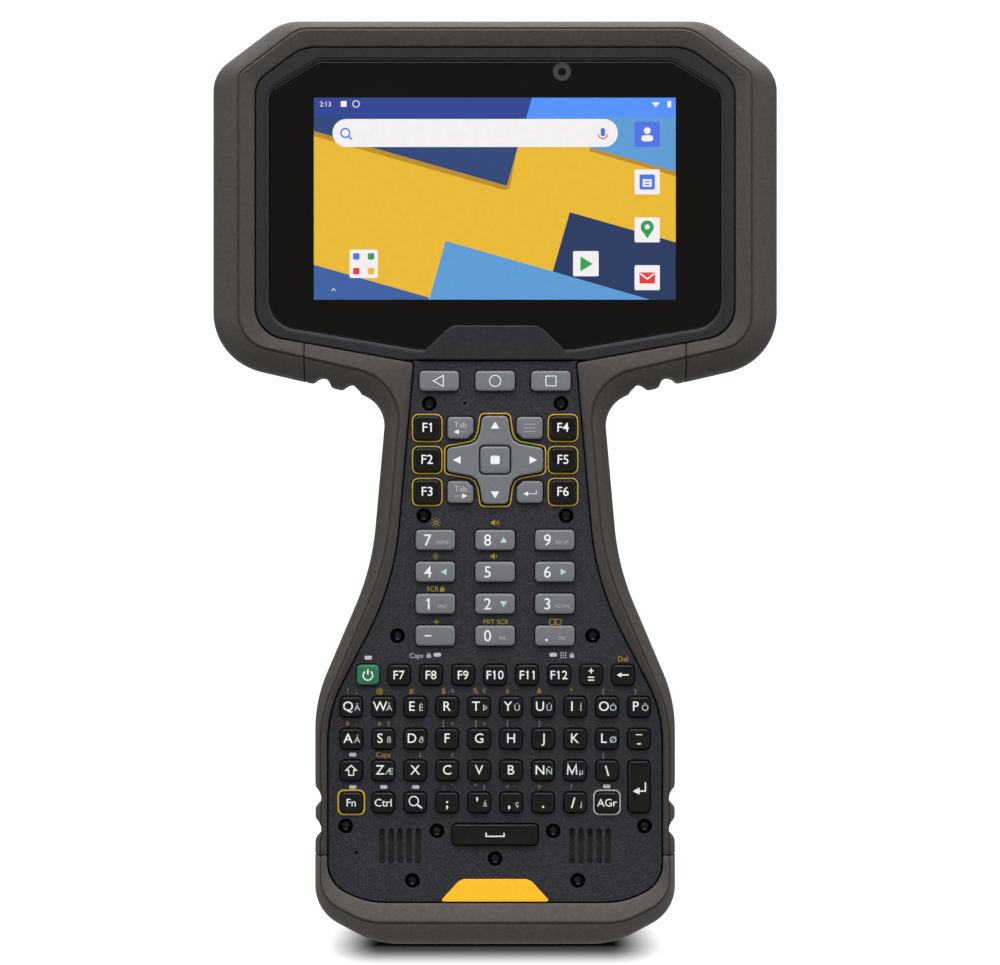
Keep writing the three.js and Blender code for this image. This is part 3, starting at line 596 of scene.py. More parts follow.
# ---------------------------------------------------------------- pieces
class Piece:
    """A mesh in millimetres (x, depth, z) with several materials, which rides on a body."""

    def __init__(self, name):
        self.name = name
        self.points = []
        self.faces = []
        self.paints = []
        self.solid = []
        self.materials = []

    def add(self, points, faces, paint, solid=True):
        material = PAINT[paint] if isinstance(paint, str) else paint
        if material not in self.materials:
            self.materials.append(material)
        base = len(self.points)
        self.points += [tuple(p) for p in points]
        if solid:
            self.solid += range(len(self.faces), len(self.faces) + len(faces))
        self.faces += [tuple(base + i for i in face) for face in faces]
        self.paints += [self.materials.index(material)] * len(faces)
        return self

    def decal(self, marks, paint, surface, lift=0.03):
        """Flat marks laid on a surface, a depth for each x and z."""
        level = surface if callable(surface) else (lambda x, z: surface)
        for polygon in marks:
            if area_of(polygon) < 0:
                polygon = polygon[::-1]
            points = [(p.x, level(p.x, p.y) - lift, p.y) for p in polygon]
            self.add(points, [range(len(points))], paint, solid=False)
        return self

    def mesh(self, sharp=38.0):
        mesh = bpy.data.meshes.new(self.name)
        mesh.from_pydata([place(*p) for p in self.points], [], self.faces)
        for material in self.materials:
            mesh.materials.append(material)
        mesh.polygons.foreach_set("material_index", self.paints)
        work = bmesh.new()
        work.from_mesh(mesh)
        work.faces.ensure_lookup_table()
        bmesh.ops.recalc_face_normals(work, faces=[work.faces[i] for i in self.solid])
        finish_normals(work, sharp)
        work.to_mesh(mesh)
        work.free()
        return mesh

    def build(self, body, slot, *nodes, sharp=38.0):
        return settle(bpy.data.objects.new(self.name, self.mesh(sharp)), body, slot, nodes)


def finish_normals(work, sharp):
    """Smooth faces, with sharp edges at folds and round flat fronts and backs."""
    for face in work.faces:
        face.smooth = True
    flat = 0.99995
    for edge in work.edges:
        if len(edge.link_faces) != 2:
            continue
        first, second = (f.normal for f in edge.link_faces)
        edge.smooth = edge.calc_face_angle(0) < math.radians(sharp)
        if (abs(first.y) > flat) != (abs(second.y) > flat):
            edge.smooth = False


def settle(obj, body, slot, nodes=()):
    bpy.context.scene.collection.objects.link(obj)
    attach(obj, body)
    if nodes:
        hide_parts(*nodes)
    return obj


def plate(loops, front, rear, bevel=0.0, steps=2):
    """A flat plate with holes and rounded rims: points and faces in millimetres."""
    curve = bpy.data.curves.new("plate", "CURVE")
    curve.dimensions = "2D"
    curve.fill_mode = "BOTH"
    curve.extrude = (rear - front) / 2 - bevel
    curve.bevel_depth = bevel
    curve.bevel_resolution = steps
    curve.offset = -bevel
    for loop in loops:
        spline = curve.splines.new("POLY")
        spline.points.add(len(loop) - 1)
        spline.points.foreach_set("co", [c for p in loop for c in (p[0], p[1], 0, 1)])
        spline.use_cyclic_u = True
    obj = bpy.data.objects.new("plate", curve)
    mesh = evaluated_mesh(obj)
    level = (front + rear) / 2
    points = [(v.co.x, level - v.co.z, v.co.y) for v in mesh.vertices]
    faces = [tuple(p.vertices) for p in mesh.polygons]
    bpy.data.meshes.remove(mesh)
    discard(obj)
    return welded(points, faces)


def welded(points, faces):
    """Joins points that coincide, so that edges are shared."""
    index, kept, where = {}, [], []
    for p in points:
        key = tuple(round(c, 4) for c in p)
        if key not in index:
            index[key] = len(kept)
            kept.append(p)
        where.append(index[key])
    joined = []
    for face in faces:
        loop = [where[i] for i in face]
        loop = [i for k, i in enumerate(loop) if i != loop[k - 1]]
        if len(set(loop)) > 2:
            joined.append(tuple(loop))
    return kept, joined


def lofted(loops, cap_first=True, cap_last=True):
    """Faces through loops of (x, depth, z) points of equal count."""
    count = len(loops[0])
    points = [p for loop in loops for p in loop]
    faces = []
    for j in range(len(loops) - 1):
        for i in range(count):
            k = (i + 1) % count
            faces.append((j * count + i, j * count + k, (j + 1) * count + k, (j + 1) * count + i))
    if cap_first:
        faces.append(tuple(range(count))[::-1])
    if cap_last:
        faces.append(tuple(range((len(loops) - 1) * count, len(loops) * count)))
    return points, faces


def at_depth(outline, depth):
    return [(p[0], depth, p[1]) for p in outline]


def rounded_box(x0, x1, d0, d1, z0, z1, bevel, steps=3):
    """A block with all its edges rounded."""
    work = bmesh.new()
    bmesh.ops.create_cube(work, size=1)
    for v in work.verts:
        v.co = Vector((
            (x0 + x1) / 2 + v.co.x * (x1 - x0),
            (d0 + d1) / 2 + v.co.y * (d1 - d0),
            (z0 + z1) / 2 + v.co.z * (z1 - z0),
        ))
    bmesh.ops.bevel(work, geom=work.edges[:], offset=bevel, segments=steps, profile=0.5, affect="EDGES")
    points = [tuple(v.co) for v in work.verts]
    faces = [tuple(v.index for v in f.verts) for f in work.faces]
    work.free()
    return points, faces


def turned_solid(profile, x, z, sides=32):
    """A solid of revolution about the depth axis, from (radius, depth) pairs."""
    loops = [at_depth(circle(max(r, 0.001), x, z, sides), d) for r, d in profile]
    return lofted(loops)


# ---------------------------------------------------------------- rubber bumper
# Section of the bumper: a fixed inset, shares of the crease and lip insets, depth, rounding.
BUMPER_SECTION = [
    (0, 0, 1, 2.6, 0.2),
    (0, 0, 1, 1.6, 0.5),
    (0.35, 1, 0, 0.05, 0.35),
    (0.05, 1, 0, 1.2, 0.25),
    (-0.5, 1, 0, 0.75, 0.5),
    (0, 0.45, 0, 2.6, 1.6),
    (0, 0.1, 0, 5.5, 1.5),
    (0, 0, 0, 9.5, 1.5),
    (0, 0, 0, 24, 2.0),
    (1, 0, 0, 29.3, 1.6),
    (3.8, 0, 0, 32.4, 1.6),
    (9, 0, 0, 33.6, 0.5),
    (9, 0, 0, 31.2, 0.3),
    (4.6, 0, 0, 30.4, 0.5),
    (3.2, 0, 0, 28, 0.5),
    (3.2, 0, 0, 6.5, 0.5),
    (1.25, 0, 0.5, 3.0, 0.5),
]
ROUND_STEPS = 3
# Scalloped notches: the outline's edge, middle x and z, and radius.
NOTCHES = [(6, 56.7, 45.4, 3.3), (6, 56.7, 35.8, 3.3), (3, 44.4, 169.5, 2.7), (3, 53.4, 171.6, 2.7)]
# Tunnels behind the ribs between two notches: x and z.
TUNNELS = [
    [(52.6, 36), (52.6, 45), (54.1, 45), (54.1, 36)],
    [(44, 170.9), (44, 172.2), (54, 174.5), (54, 173.2)],
]
# Where the outline is divided about a seam: the seam's sides are the two in the middle.
SEAM_STOPS_X = [58.95, 58.65, 58.35, 58.05]
SEAM_STOPS_Z = [28.45, 28.15, 27.85, 27.55]


def steps_between(high, low, step):
    count = round((high - low) / step)
    return [high - k * (high - low) / count for k in range(count + 1)]


BUMPER_RUNS = {
    0: 10, 1: 3, 2: 12,
    3: (0, [64.6, 62.5, 60.5, *SEAM_STOPS_X, *steps_between(57.6, 44.2, 0.4)]),
    4: 12, 5: 8,
    6: (1, [61, 56, 52, *steps_between(50.5, 30.5, 0.4), *SEAM_STOPS_Z, 25.6]),
    7: 4, 8: 6,
}
BUMPER_CORNERS = [14, 12, 18, 20, 12, 10, 14, 10]


def nominal(control):
    fixed, crease, lip, depth, _ = control
    return Vector((fixed + crease * 5 + lip * 9, depth))


def rounded_controls():
    """The section's control points with every corner replaced by a short curve."""
    made = []
    count = len(BUMPER_SECTION)
    for i, here in enumerate(BUMPER_SECTION):
        before, after = BUMPER_SECTION[i - 1], BUMPER_SECTION[(i + 1) % count]
        ends = []
        for other in (before, after):
            share = min(here[4] / (nominal(other) - nominal(here)).length, 0.48)
            ends.append([h + (o - h) * share for h, o in zip(here[:4], other[:4])])
        for k in range(ROUND_STEPS + 1):
            t = k / ROUND_STEPS
            weights = ((1 - t) ** 2, 2 * t * (1 - t), t * t)
            made.append([
                sum(w * c for w, c in zip(weights, column)) for column in zip(ends[0], here[:4], ends[1])
            ])
    return made


def pressed(z, depth):
    """The back is hollowed where the hand lies."""
    middle, half = (SADDLE_LOW + SADDLE_HIGH) / 2, (SADDLE_HIGH - SADDLE_LOW) / 2
    rise = math.sqrt(SADDLE_RADIUS**2 - min(abs(z - middle), half) ** 2)
    hollow = max(0, rise - math.sqrt(SADDLE_RADIUS**2 - half**2))
    return depth - hollow * min(max((depth - 20) / 6, 0), 1)


def notched(point, lines):
    """Moves a point of the outline in where a notch scoops the rubber away."""
    for edge, x, z, radius in NOTCHES:
        _, along, inward, _, _ = lines[edge]
        reach = point - Vector((x, z))
        u, deep = abs(reach.dot(along)), reach.dot(inward)
        if u > radius * 1.8 or deep > 12:
            continue
        edge_of_arc = 0.9 * radius
        if u < edge_of_arc:
            scoop = math.sqrt(radius**2 - u**2)
        else:
            scoop = radius * 0.436 - (u - edge_of_arc) * 2.06
        soft = 0.7
        wanted = (deep + scoop + math.sqrt((deep - scoop) ** 2 + soft**2)) / 2
        point = point + inward * (wanted - deep)
    return point


def seam_section(edge, controls):
    """The section at a seam, shrunk a little so that the moulding's end is rounded."""
    crease = CREASE[edge][0]
    lip = sum(LIP[edge]) / 2
    flat = [Vector((c[0] + c[1] * crease + c[2] * lip, c[3])) for c in controls]
    spin = -1 if area_of(flat) > 0 else 1
    shrunk = []
    for i, here in enumerate(flat):
        chord = flat[(i + 1) % len(flat)] - flat[i - 1]
        normal = Vector((chord.y, -chord.x)).normalized() * spin
        shrunk.append(here + normal * 0.22)
    return shrunk


def nearest(points, axis, stop, line):
    """Index of the point that is nearest to a stop along an axis, among those beside an edge."""
    start, _, inward, _, _ = line
    beside = [i for i, p in enumerate(points) if abs((p - start).dot(inward)) <= 20]
    return min(beside, key=lambda i: abs(points[i][axis] - stop))


def bumper_loops():
    """Right half loops of the bumper, one for each control, and the indices of the seams."""
    controls = rounded_controls()
    lines = edge_lines(CASING, evenly(0))
    loops = []
    for fixed, crease, lip, depth in controls:
        insets = [
            (fixed + crease * c[0] + lip * b[0], fixed + crease * c[1] + lip * b[1])
            for c, b in zip(CREASE, LIP)
        ]
        flat = half_outline(CASING, insets, BUMPER_CORNERS, BUMPER_RUNS, lip)
        loops.append([(p, depth) for p in flat])
    seams = {}
    outer = [p for p, _ in loops[0]]
    for name, axis, stops, edge in (("head", 0, SEAM_STOPS_X, 3), ("foot", 1, SEAM_STOPS_Z, 6)):
        found = [nearest(outer, axis, stop, lines[edge]) for stop in stops]
        seams[name] = found
        for index in found[1:3]:
            for j, (inset, depth) in enumerate(seam_section(edge, controls)):
                start, along, inward, _, _ = lines[edge]
                base = start + inward * inset
                stop = stops[found.index(index)]
                spot = base + along * ((stop - base[axis]) / along[axis])
                loops[j][index] = (spot, depth)
    made = []
    for loop in loops:
        spots = [(notched(p, lines), depth) for p, depth in loop]
        made.append([(p.x, pressed(p.y, depth), p.y) for p, depth in spots])
    return made, seams


def strip_between(loops, first, last, mirrored=False):
    """Sections of the bumper from one index of the outline to another."""
    sections = [[loop[i] for loop in loops] for i in range(first, last + 1)]
    if mirrored:
        sections = [[(-x, d, z) for x, d, z in section] for section in sections]
    return sections


def build_bumper():
    loops, seams = bumper_loops()
    last = len(loops[0]) - 1
    right_top = strip_between(loops, 0, seams["head"][1])
    left_top = strip_between(loops, 1, seams["head"][1], True)[::-1]
    head = Piece("bumper_head").add(*lofted(left_top + right_top), "rubber")
    head.build("casing", "rubber", "head_bumper")
    low = strip_between(loops, seams["foot"][2], last)
    low_left = strip_between(loops, seams["foot"][2], last - 1, True)[::-1]
    # painted light: the foot bumper takes the lighter copy of the rubber
    foot = Piece("bumper_foot").add(*lofted(low + low_left), "rubber_foot")
    foot.build("casing", "rubber", "end_bumper")
    for name, node, mirrored in (("bumper_right", "right_grip", False), ("bumper_left", "left_grip", True)):
        side = strip_between(loops, seams["head"][2], seams["foot"][1], mirrored)
        grip = Piece(name).add(*lofted(side), "rubber")
        cuts = tunnel_cuts(-1 if mirrored else 1)
        if not mirrored:
            cuts.append(port_window())
        build_cut(grip, cuts, "casing", "rubber", node)


def tunnel_cuts(side):
    """The holes behind the ribs between notches, where a tether passes."""
    made = []
    for quad in TUNNELS:
        spots = [Vector((side * x, z)) for x, z in quad]
        made.append(lofted([at_depth(spots, 12), at_depth(spots, 20)]))
    return made


def port_window():
    low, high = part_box("port_door")
    front, rear = ((v.y - cad_low.y) / MM for v in (low, high))
    return rounded_box(50.5, 60, front - 0.5, rear + 0.5, low.z / MM - 0.5, high.z / MM + 0.5, 0.8)


def build_cut(piece, cuts, body, slot, *nodes, bevel=0.0, sharp=38.0):
    """A piece with solids cut away from it."""
    target = bpy.data.objects.new(piece.name, piece.mesh(sharp))
    bpy.context.scene.collection.objects.link(target)
    tools = []
    for points, faces in cuts:
        shape = Piece("tool").add(points, faces, piece.materials[0])
        tool = bpy.data.objects.new("tool", shape.mesh())
        bpy.context.scene.collection.objects.link(tool)
        cut = target.modifiers.new("cut", "BOOLEAN")
        cut.operation = "DIFFERENCE"
        cut.solver = "EXACT"
        cut.object = tool
        tools.append(tool)
    if bevel:
        edge = target.modifiers.new("edge", "BEVEL")
        edge.width = bevel * MM
        edge.segments = 2
        edge.limit_method = "ANGLE"
        edge.angle_limit = math.radians(50)
    bpy.context.view_layer.update()
    depsgraph = bpy.context.evaluated_depsgraph_get()
    baked = bpy.data.meshes.new_from_object(target.evaluated_get(depsgraph))
    work = bmesh.new()
    work.from_mesh(baked)
    finish_normals(work, sharp)
    work.to_mesh(baked)
    work.free()
    for tool in tools:
        discard(tool)
    discard(target)
    baked.name = piece.name
    return settle(bpy.data.objects.new(piece.name, baked), body, slot, nodes)


# ---------------------------------------------------------------- head front
BEZEL_FRONT = 1.9


def build_bezel():
    outer = clipped(lip_outline(0.4), HEAD_FLOOR + 0.15, True)
    shoulder, seat = glass_outline(1.1), glass_outline(0.15)
    bezel = Piece("bezel")
    bezel.add(*plate([outer, shoulder], BEZEL_FRONT, 3.2, 0.25), "shell")
    slope = [
        at_depth(shoulder, BEZEL_FRONT + 0.04),
        at_depth(glass_outline(0.9), 2.0),
        at_depth(seat, 2.66),
        at_depth(seat, 4.6),
    ]
    bezel.add(*lofted(slope, False, False), "shell")
    wall = casing_outline(evenly(SHELL))
    hidden = lip_outline(0.6)
    skirt = [at_depth(hidden, 3.9), at_depth(wall, 6.9), at_depth(wall, 15.6)]
    bezel.add(*lofted(skirt, False, False), "shell", False)
    bezel.build("casing", "shell", "front_housing")
    tongue = [(24.4, 179.75), (15.2, 188.6), (12.8, 190.2), (-12.8, 190.2), (-15.2, 188.6), (-24.4, 179.75)]
    tongue = filleted([Vector(p) for p in tongue[::-1]], [0.6, 1.5, 1.5, 1.5, 1.5, 0.6])
    raised = Piece("bezel_tongue").add(*plate([tongue], 0.95, 3.0, 0.45, 3), "shell")
    raised.build("casing", "shell")


def build_glass():
    front, rear = 2.8, 4.6
    glass = Piece("cover_glass").add(*plate([glass_outline(-0.05)], front, rear, 0.2), "glass")
    glass.build("casing", "glass", "touch_glass")
    x, z = middle_of("front_camera")
    camera = Piece("front_camera_window")
    camera.decal(mark(circle(2.75, x, z, 40)), "dark", front)
    camera.decal(ring(2.75, 0.16, x, z), "lens_rim", front, 0.04)
    camera.decal(mark(circle(1.25, x, z, 32)), "glass", front, 0.05)
    camera.decal(ring(1.25, 0.1, x, z), "lens_rim", front, 0.06)
    camera.build("casing", "lens")


# The lit picture is laid out on a grid of 362.5 by 202.3 steps from its top left corner.
SCREEN_WIDTH = 110.9
GRID = (362.5, 202.3)
SCREEN_COLOURS = {
    "gold": (0.847, 0.497, 0.026),
    "royal": (0.023, 0.052, 0.30),
    "navy_blue": (0.021, 0.055, 0.195),
    "sky": (0.083, 0.291, 1.0),
    "light_blue": (0.107, 0.337, 0.687),
    "mid_blue": (0.042, 0.117, 0.371),
    "navy": (0.014, 0.035, 0.117),
    "shade": (0.50, 0.27, 0.012),
    "white": (0.93, 0.90, 0.92),
    "icon_blue": (0.073, 0.168, 0.815),
    "red": (0.76, 0.045, 0.035),
    "leaf": (0.03, 0.36, 0.09),
}


def screen_point(u, v):
    x, z = middle_of("display_panel")
    step = SCREEN_WIDTH / GRID[0]
    return Vector((x - 0.1 + (u - GRID[0] / 2) * step, z + (GRID[1] / 2 - v) * step))


def screen_marks(*spots):
    return mark([screen_point(u, v) for u, v in spots])


def screen_box(u, v, width, height, radius):
    step = SCREEN_WIDTH / GRID[0]
    centre = screen_point(u + width / 2, v + height / 2)
    return mark(rounded_rectangle(width * step, height * step, radius * step, centre.x, centre.y))


def screen_line(width, *spots, closed=False):
    return stroke([screen_point(u, v) for u, v in spots], width, closed)


def screen_disc(u, v, radius):
    centre = screen_point(u, v)
    return mark(circle(radius * SCREEN_WIDTH / GRID[0], centre.x, centre.y))


WALLPAPER = [
    ("gold", [(0, 0), (362.5, 0), (362.5, 202.3), (0, 202.3)]),
    ("shade", [(0, 38.5), (191, 92.6), (196, 91), (202, 60), (0, 4)]),
    ("shade", [(276, 53.5), (362.5, 78.6), (362.5, 60), (279, 40)]),
    ("royal", [(0, 0), (218.6, 0), (213, 19.5), (0, 19.5)]),
    ("navy_blue", [(0, 19.5), (213, 19.5), (193.2, 88.2), (0, 33.3)]),
    ("sky", [(218.6, 0), (362.5, 0), (362.5, 19.5), (213, 19.5)]),
    ("light_blue", [(213, 19.5), (362.5, 19.5), (362.5, 74.1), (280.5, 51), (240, 39.5), (209, 33)]),
    ("mid_blue", [(0, 167.4), (115.4, 200.2), (114.8, 202.3), (0, 202.3)]),
    ("navy", [(256.4, 114.7), (362.5, 144.9), (362.5, 202.3), (330, 202.3), (239.4, 174.1)]),
    ("light_blue", [(131.9, 143.5), (239.4, 174.1), (337, 202.3), (115.6, 202.3)]),
]


def icons():
    """Generic pictures on the screen: colour and marks, from back to front."""
    yield "white", screen_box(18.6, 21.3, 286, 28.1, 14)
    yield "icon_blue", ring(1.35, 0.45, *screen_point(31.5, 35.3)) + screen_line(0.5, (34.6, 38.4), (38, 42))
    yield "icon_blue", screen_box(287.3, 30.2, 4.4, 8.6, 2.2)
    yield "red", screen_line(0.35, (285, 36.5), (286, 39.6), (289.5, 41.4), (293, 39.6), (294, 36.5))
    yield "icon_blue", screen_box(321.3, 24, 25.3, 25.3, 1.5)
    yield "white", screen_disc(334, 33, 3.4) + screen_box(328, 37.6, 12, 6.2, 3)
    for v in (71.9, 119.9, 167.8):
        yield "white", screen_box(321.3, v, 25.3, 25, 1.5)
    yield "icon_blue", screen_box(326.3, 76.9, 15.3, 15.2, 1.5)
    yield "white", screen_box(329.4, 81.6, 9.1, 7.6, 0.4)
    lines = [screen_line(0.35, (331.2, v), (336.6, v)) for v in (84, 86.9)]
    yield "icon_blue", lines[0] + lines[1]
    yield "leaf", screen_disc(334, 129.5, 6.6) + screen_marks((327.7, 131.8), (340.3, 131.8), (334, 141))
    yield "white", screen_disc(334, 129.5, 2.5)
    yield "red", screen_box(326.2, 175, 15.6, 11.2, 1)
    yield "white", screen_line(0.45, (327, 176.2), (334, 181.6), (341, 176.2))
    yield "white", screen_box(259.7, 153.7, 25.6, 25.2, 1.5)
    yield "leaf", screen_marks((267, 159), (267, 174), (279.4, 166.5))
    yield "white", screen_box(35.7, 152.2, 28.4, 28.4, 2)
    tiles = [("icon_blue", 42.5, 159), ("leaf", 57.3, 159), ("red", 42.5, 173.8), ("gold", 57.3, 173.8)]
    for colour, u, v in tiles:
        yield colour, screen_box(u - 3.3, v - 3.3, 6.6, 6.6, 1.6)
    yield "white", screen_line(0.22, (17.6, 193.4), (19.7, 191.4), (21.8, 193.4))
    yield "white", shifted(lettering("2:13", 1.45, bold=0.0), *screen_point(11.5, 6.4))
    yield "white", screen_box(27, 3.4, 5.8, 5.8, 0.6) + ring(1.0, 0.25, *screen_point(42.3, 6.3))
    signal = screen_marks((338.5, 4.6), (346.6, 4.6), (342.6, 9.6))
    yield "white", signal + screen_box(354.2, 3.3, 3.7, 6.4, 0.5)


def build_screen():
    """The lit picture behind the glass, just proud of its black face."""
    colours = {name: lit("lit_" + name, c) for name, c in SCREEN_COLOURS.items()}
    screen = Piece("screen_picture")
    level = 2.77
    for colour, spots in WALLPAPER:
        screen.decal(screen_marks(*spots), colours[colour], level, 0)
        level -= 0.004
    for colour, marks in icons():
        screen.decal(marks, colours[colour], level, 0)
        level -= 0.003
    screen.build("casing", "display", "display_panel")


# ---------------------------------------------------------------- keys
KEY_BASE, KEY_FACE, KEY_CROWN = 4.6, 0.75, 0.10
KEY_RADIUS = 1.25
PLATE_FRONT = 2.2
HOLE_GAP = 0.25


class Cap:
    """A key cap: rounded sides, a soft rim and a slightly crowned face."""

    def __init__(self, outline, radii, face=KEY_FACE, crown=KEY_CROWN, rim=0.62):
        self.outline, self.radii = outline, radii
        self.face, self.crown, self.rim = face, crown, rim
        xs, zs = [p.x for p in outline], [p.y for p in outline]
        self.x, self.z = (min(xs) + max(xs)) / 2, (min(zs) + max(zs)) / 2
        self.half = ((max(xs) - min(xs)) / 2, (max(zs) - min(zs)) / 2)

    def level(self, x, z):
        across = 1 - min(((x - self.x) / self.half[0]) ** 2, 1)
        up = 1 - min(((z - self.z) / self.half[1]) ** 2, 1)
        return self.face - self.crown * across * up

    def ring_at(self, inset):
        radii = [max(r - inset * 0.6, 0.35) for r in self.radii]
        return filleted(moved_in(self.outline, inset), radii)

    def solid(self):
        loops = [at_depth(self.ring_at(0), KEY_BASE), at_depth(self.ring_at(0), self.face + 0.95)]
        for k in (1, 2, 3, 4):
            angle = math.radians(90 * k / 4.6)
            inset = self.rim * (1 - math.cos(angle))
            loops.append(at_depth(self.ring_at(inset), self.face + 0.95 * (1 - math.sin(angle)) ** 1.1))
        rim = self.ring_at(self.rim)
        for share in (1, 0.86, 0.66, 0.44, 0.22):
            spots = [Vector((self.x + (p.x - self.x) * share, self.z + (p.y - self.z) * share)) for p in rim]
            loops.append([(p.x, self.level(p.x, p.y), p.y) for p in spots])
        return lofted(loops)


def plain_cap(x, z, width, height, radius=KEY_RADIUS, **more):
    return Cap(rectangle(width, height, x, z), [radius] * 4, **more)


ARROWS = {
    "left": [(-1.0, 0), (0.85, 0.95), (0.85, -0.95)],
    "right": [(1.0, 0), (-0.85, -0.95), (-0.85, 0.95)],
    "up": [(0, 0.95), (1.05, -0.8), (-1.05, -0.8)],
    "down": [(0, -0.95), (-1.05, 0.8), (1.05, 0.8)],
}
# The open triangle on the key that goes back.
BACK_ARROW = [(-1.85, 0), (1.25, 1.7), (1.25, -1.7)]


def triangle(way, x=0.0, z=0.0, scale=1.0):
    return shifted(mark(ARROWS[way]), x, z, scale)


def number_marks(text):
    """Marks of a number key: its digit, an arrow and a faint second legend."""
    arrows = {"8": "up", "4": "left", "6": "right", "2": "down"}
    faint = {"7": "HOME", "9": "PG UP", "1": "END", "3": "PG DN", "0": "INS", ".": "DEL"}
    if text == "-":
        return [("print_white", stroke([(-3.3, 0), (-1.2, 0)], 0.42))]
    if text == ".":
        marks = [("print_white", mark(circle(0.42, -2.6, -1.3, 16)))]
    else:
        marks = [("print_white", lettering(text, 3.4, -2.3, bold=0.005))]
    if text in arrows:
        marks.append(("print_mint", triangle(arrows[text], 2.6, 0)))
    if text in faint:
        marks.append(("print_soft", lettering(faint[text], 0.95, 2.2, -0.7, bold=0)))
    return marks


def single_key_marks():
    """Legends of the keys that press on their own, about each key's middle."""
    white = "print_white"
    tab = lettering("Tab", 1.75, 0, 1.0, bold=0.0)
    made = {
        "key_back": [(white, stroke(BACK_ARROW, 0.27, True))],
        "key_home": [(white, ring(1.7, 0.27))],
        "key_recent": [(white, stroke(rounded_rectangle(3.1, 3.0, 0.2), 0.27, True))],
        "key_space": [(white, stroke([(-2.75, 0.6), (-2.75, -0.5), (2.75, -0.5), (2.75, 0.6)], 0.42))],
        "key_dpad_centre": [(white, mark(rounded_rectangle(2.8, 2.6, 0.5)))],
        "key_menu": [("print_soft", menu_marks())],
        "key_tab_back": [
            ("print_soft", tab + stroke([(2.0, -1.2), (-1.0, -1.2)], 0.16)),
            (white, triangle("left", -1.2, -1.2, 0.85)),
        ],
        "key_tab_forward": [
            ("print_soft", tab + stroke([(-2.0, -1.2), (1.0, -1.2)], 0.16)),
            (white, triangle("right", 1.2, -1.2, 0.85)),
        ],
        "key_enter_small": [(white, enter_marks(4.0, 1.1, 0.2, 0.8))],
        "key_enter": [(white, enter_marks(3.9, 2.7, 0.42, 1.15))],
        "key_power": [(white, power_marks())],
    }
    for n in range(1, 7):
        made[f"key_f{n}"] = [(white, lettering(f"F{n}", 2.75, 0, 0.2, bold=0.006))]
    names = {"-": "minus", ".": "point"}
    for text in "7894561230-.":
        made["key_" + names.get(text, text)] = number_marks(text)
    return made


def menu_marks():
    return [polygon for k in (-1, 0, 1) for polygon in stroke([(-1.75, k * 1.15), (1.75, k * 1.15)], 0.19)]


def enter_marks(width, height, line, head):
    """A bent arrow which points left, about its middle."""
    side, low = width / 2, -height / 2
    bent = stroke([(side, height / 2), (side, low), (-side + head, low)], line)
    return bent + triangle("left", -side + head, low, head)


def power_marks():
    return stroke(arc_line(1.45, 125, 415, 28, 0, -0.15), 0.4) + stroke([(0, 1.75), (0, 0.1)], 0.4)


KEY_PAINT = {"key_power": "green", "key_enter": "black", "key_space": "black"}
# Keys at the direction pad's corners: side and rise.
CORNER_KEYS = {
    "key_tab_back": (-1, 1),
    "key_menu": (1, 1),
    "key_tab_forward": (-1, -1),
    "key_enter_small": (1, -1),
}
# The CAD's keys have a rim of this width under the faceplate.
FLANGE = 0.6


def corner_outline(side, rise, x, z, spread=0.0):
    """A key beside the direction pad: its corner towards the pad is cut to follow the pad."""
    w, h = 4.0 + spread, 3.4 + spread
    cut = 1.9
    ins = (-side, -rise)
    corners = []
    for cx, cz in ((1, 1), (1, -1), (-1, -1), (-1, 1)):
        if (cx, cz) == ins:
            first, second = Vector((x + cx * w, z + cz * (h - cut))), Vector((x + cx * (w - cut), z + cz * h))
            corners += [first, second] if cx * cz < 0 else [second, first]
        else:
            corners.append(Vector((x + cx * w, z + cz * h)))
    return corners if area_of(corners) < 0 else corners[::-1]


def build_single_keys():
    legends = single_key_marks()
    for node, marks in legends.items():
        x, z = middle_of(node)
        flange = 0.0 if node == "key_dpad_centre" else FLANGE
        width, height = (side - 2 * flange for side in size_of(node))
        if node in CORNER_KEYS:
            outline = corner_outline(*CORNER_KEYS[node], x, z)
            cap = Cap(outline, [1.2] * len(outline))
        elif node == "key_dpad_centre":
            cap = plain_cap(x, z, width, height, 1.3, face=0.35)
        elif node.startswith("key_f"):
            cap = plain_cap(x, z, width, height, 1.5)
        else:
            cap = plain_cap(x, z, width, height)
        paint = KEY_PAINT.get(node, "black" if node.startswith("key_f") else "grey")
        key = Piece("cap_" + node[4:]).add(*cap.solid(), paint)
        for ink_name, spots in marks:
            key.decal(shifted(spots, x, z), ink_name, cap.level, 0.05)
        slot = {"grey": "key_grey", "black": "key_black", "green": "key_green"}[paint]
        key.build(node, slot, node)


# Legends of the small keys in each row, from the left. A second letter is the key's second legend.
ROWS = {
    "keys_function_row": ["F7", "F8", "F9", "F10", "F11", "F12", "=", "back"],
    "keys_letter_row_top": ["QÄ", "WÅ", "EÉ", "R", "TÞ", "YÜ", "UÚ", "IÍ", "OÓ", "PÖ"],
    "keys_letter_row_middle": ["AÁ", "Sß", "Dð", "F", "G", "H", "J", "K", "LØ", "_-"],
    "keys_letter_row_bottom": ["shift", "ZÆ", "X", "C", "V", "B", "NÑ", "Mµ", "\\"],
    "keys_modifier_row": ["Fn", "Ctrl", "search", ";", "'á", ",ç", ".", "/¿", "AGr"],
}
# Distance from key to key in millimetres, and the rows that have their own.
KEY_PITCH = 9.79
ROW_PITCH = {"keys_function_row": 9.8}
SMALL_KEY = (6.7, 6.2)


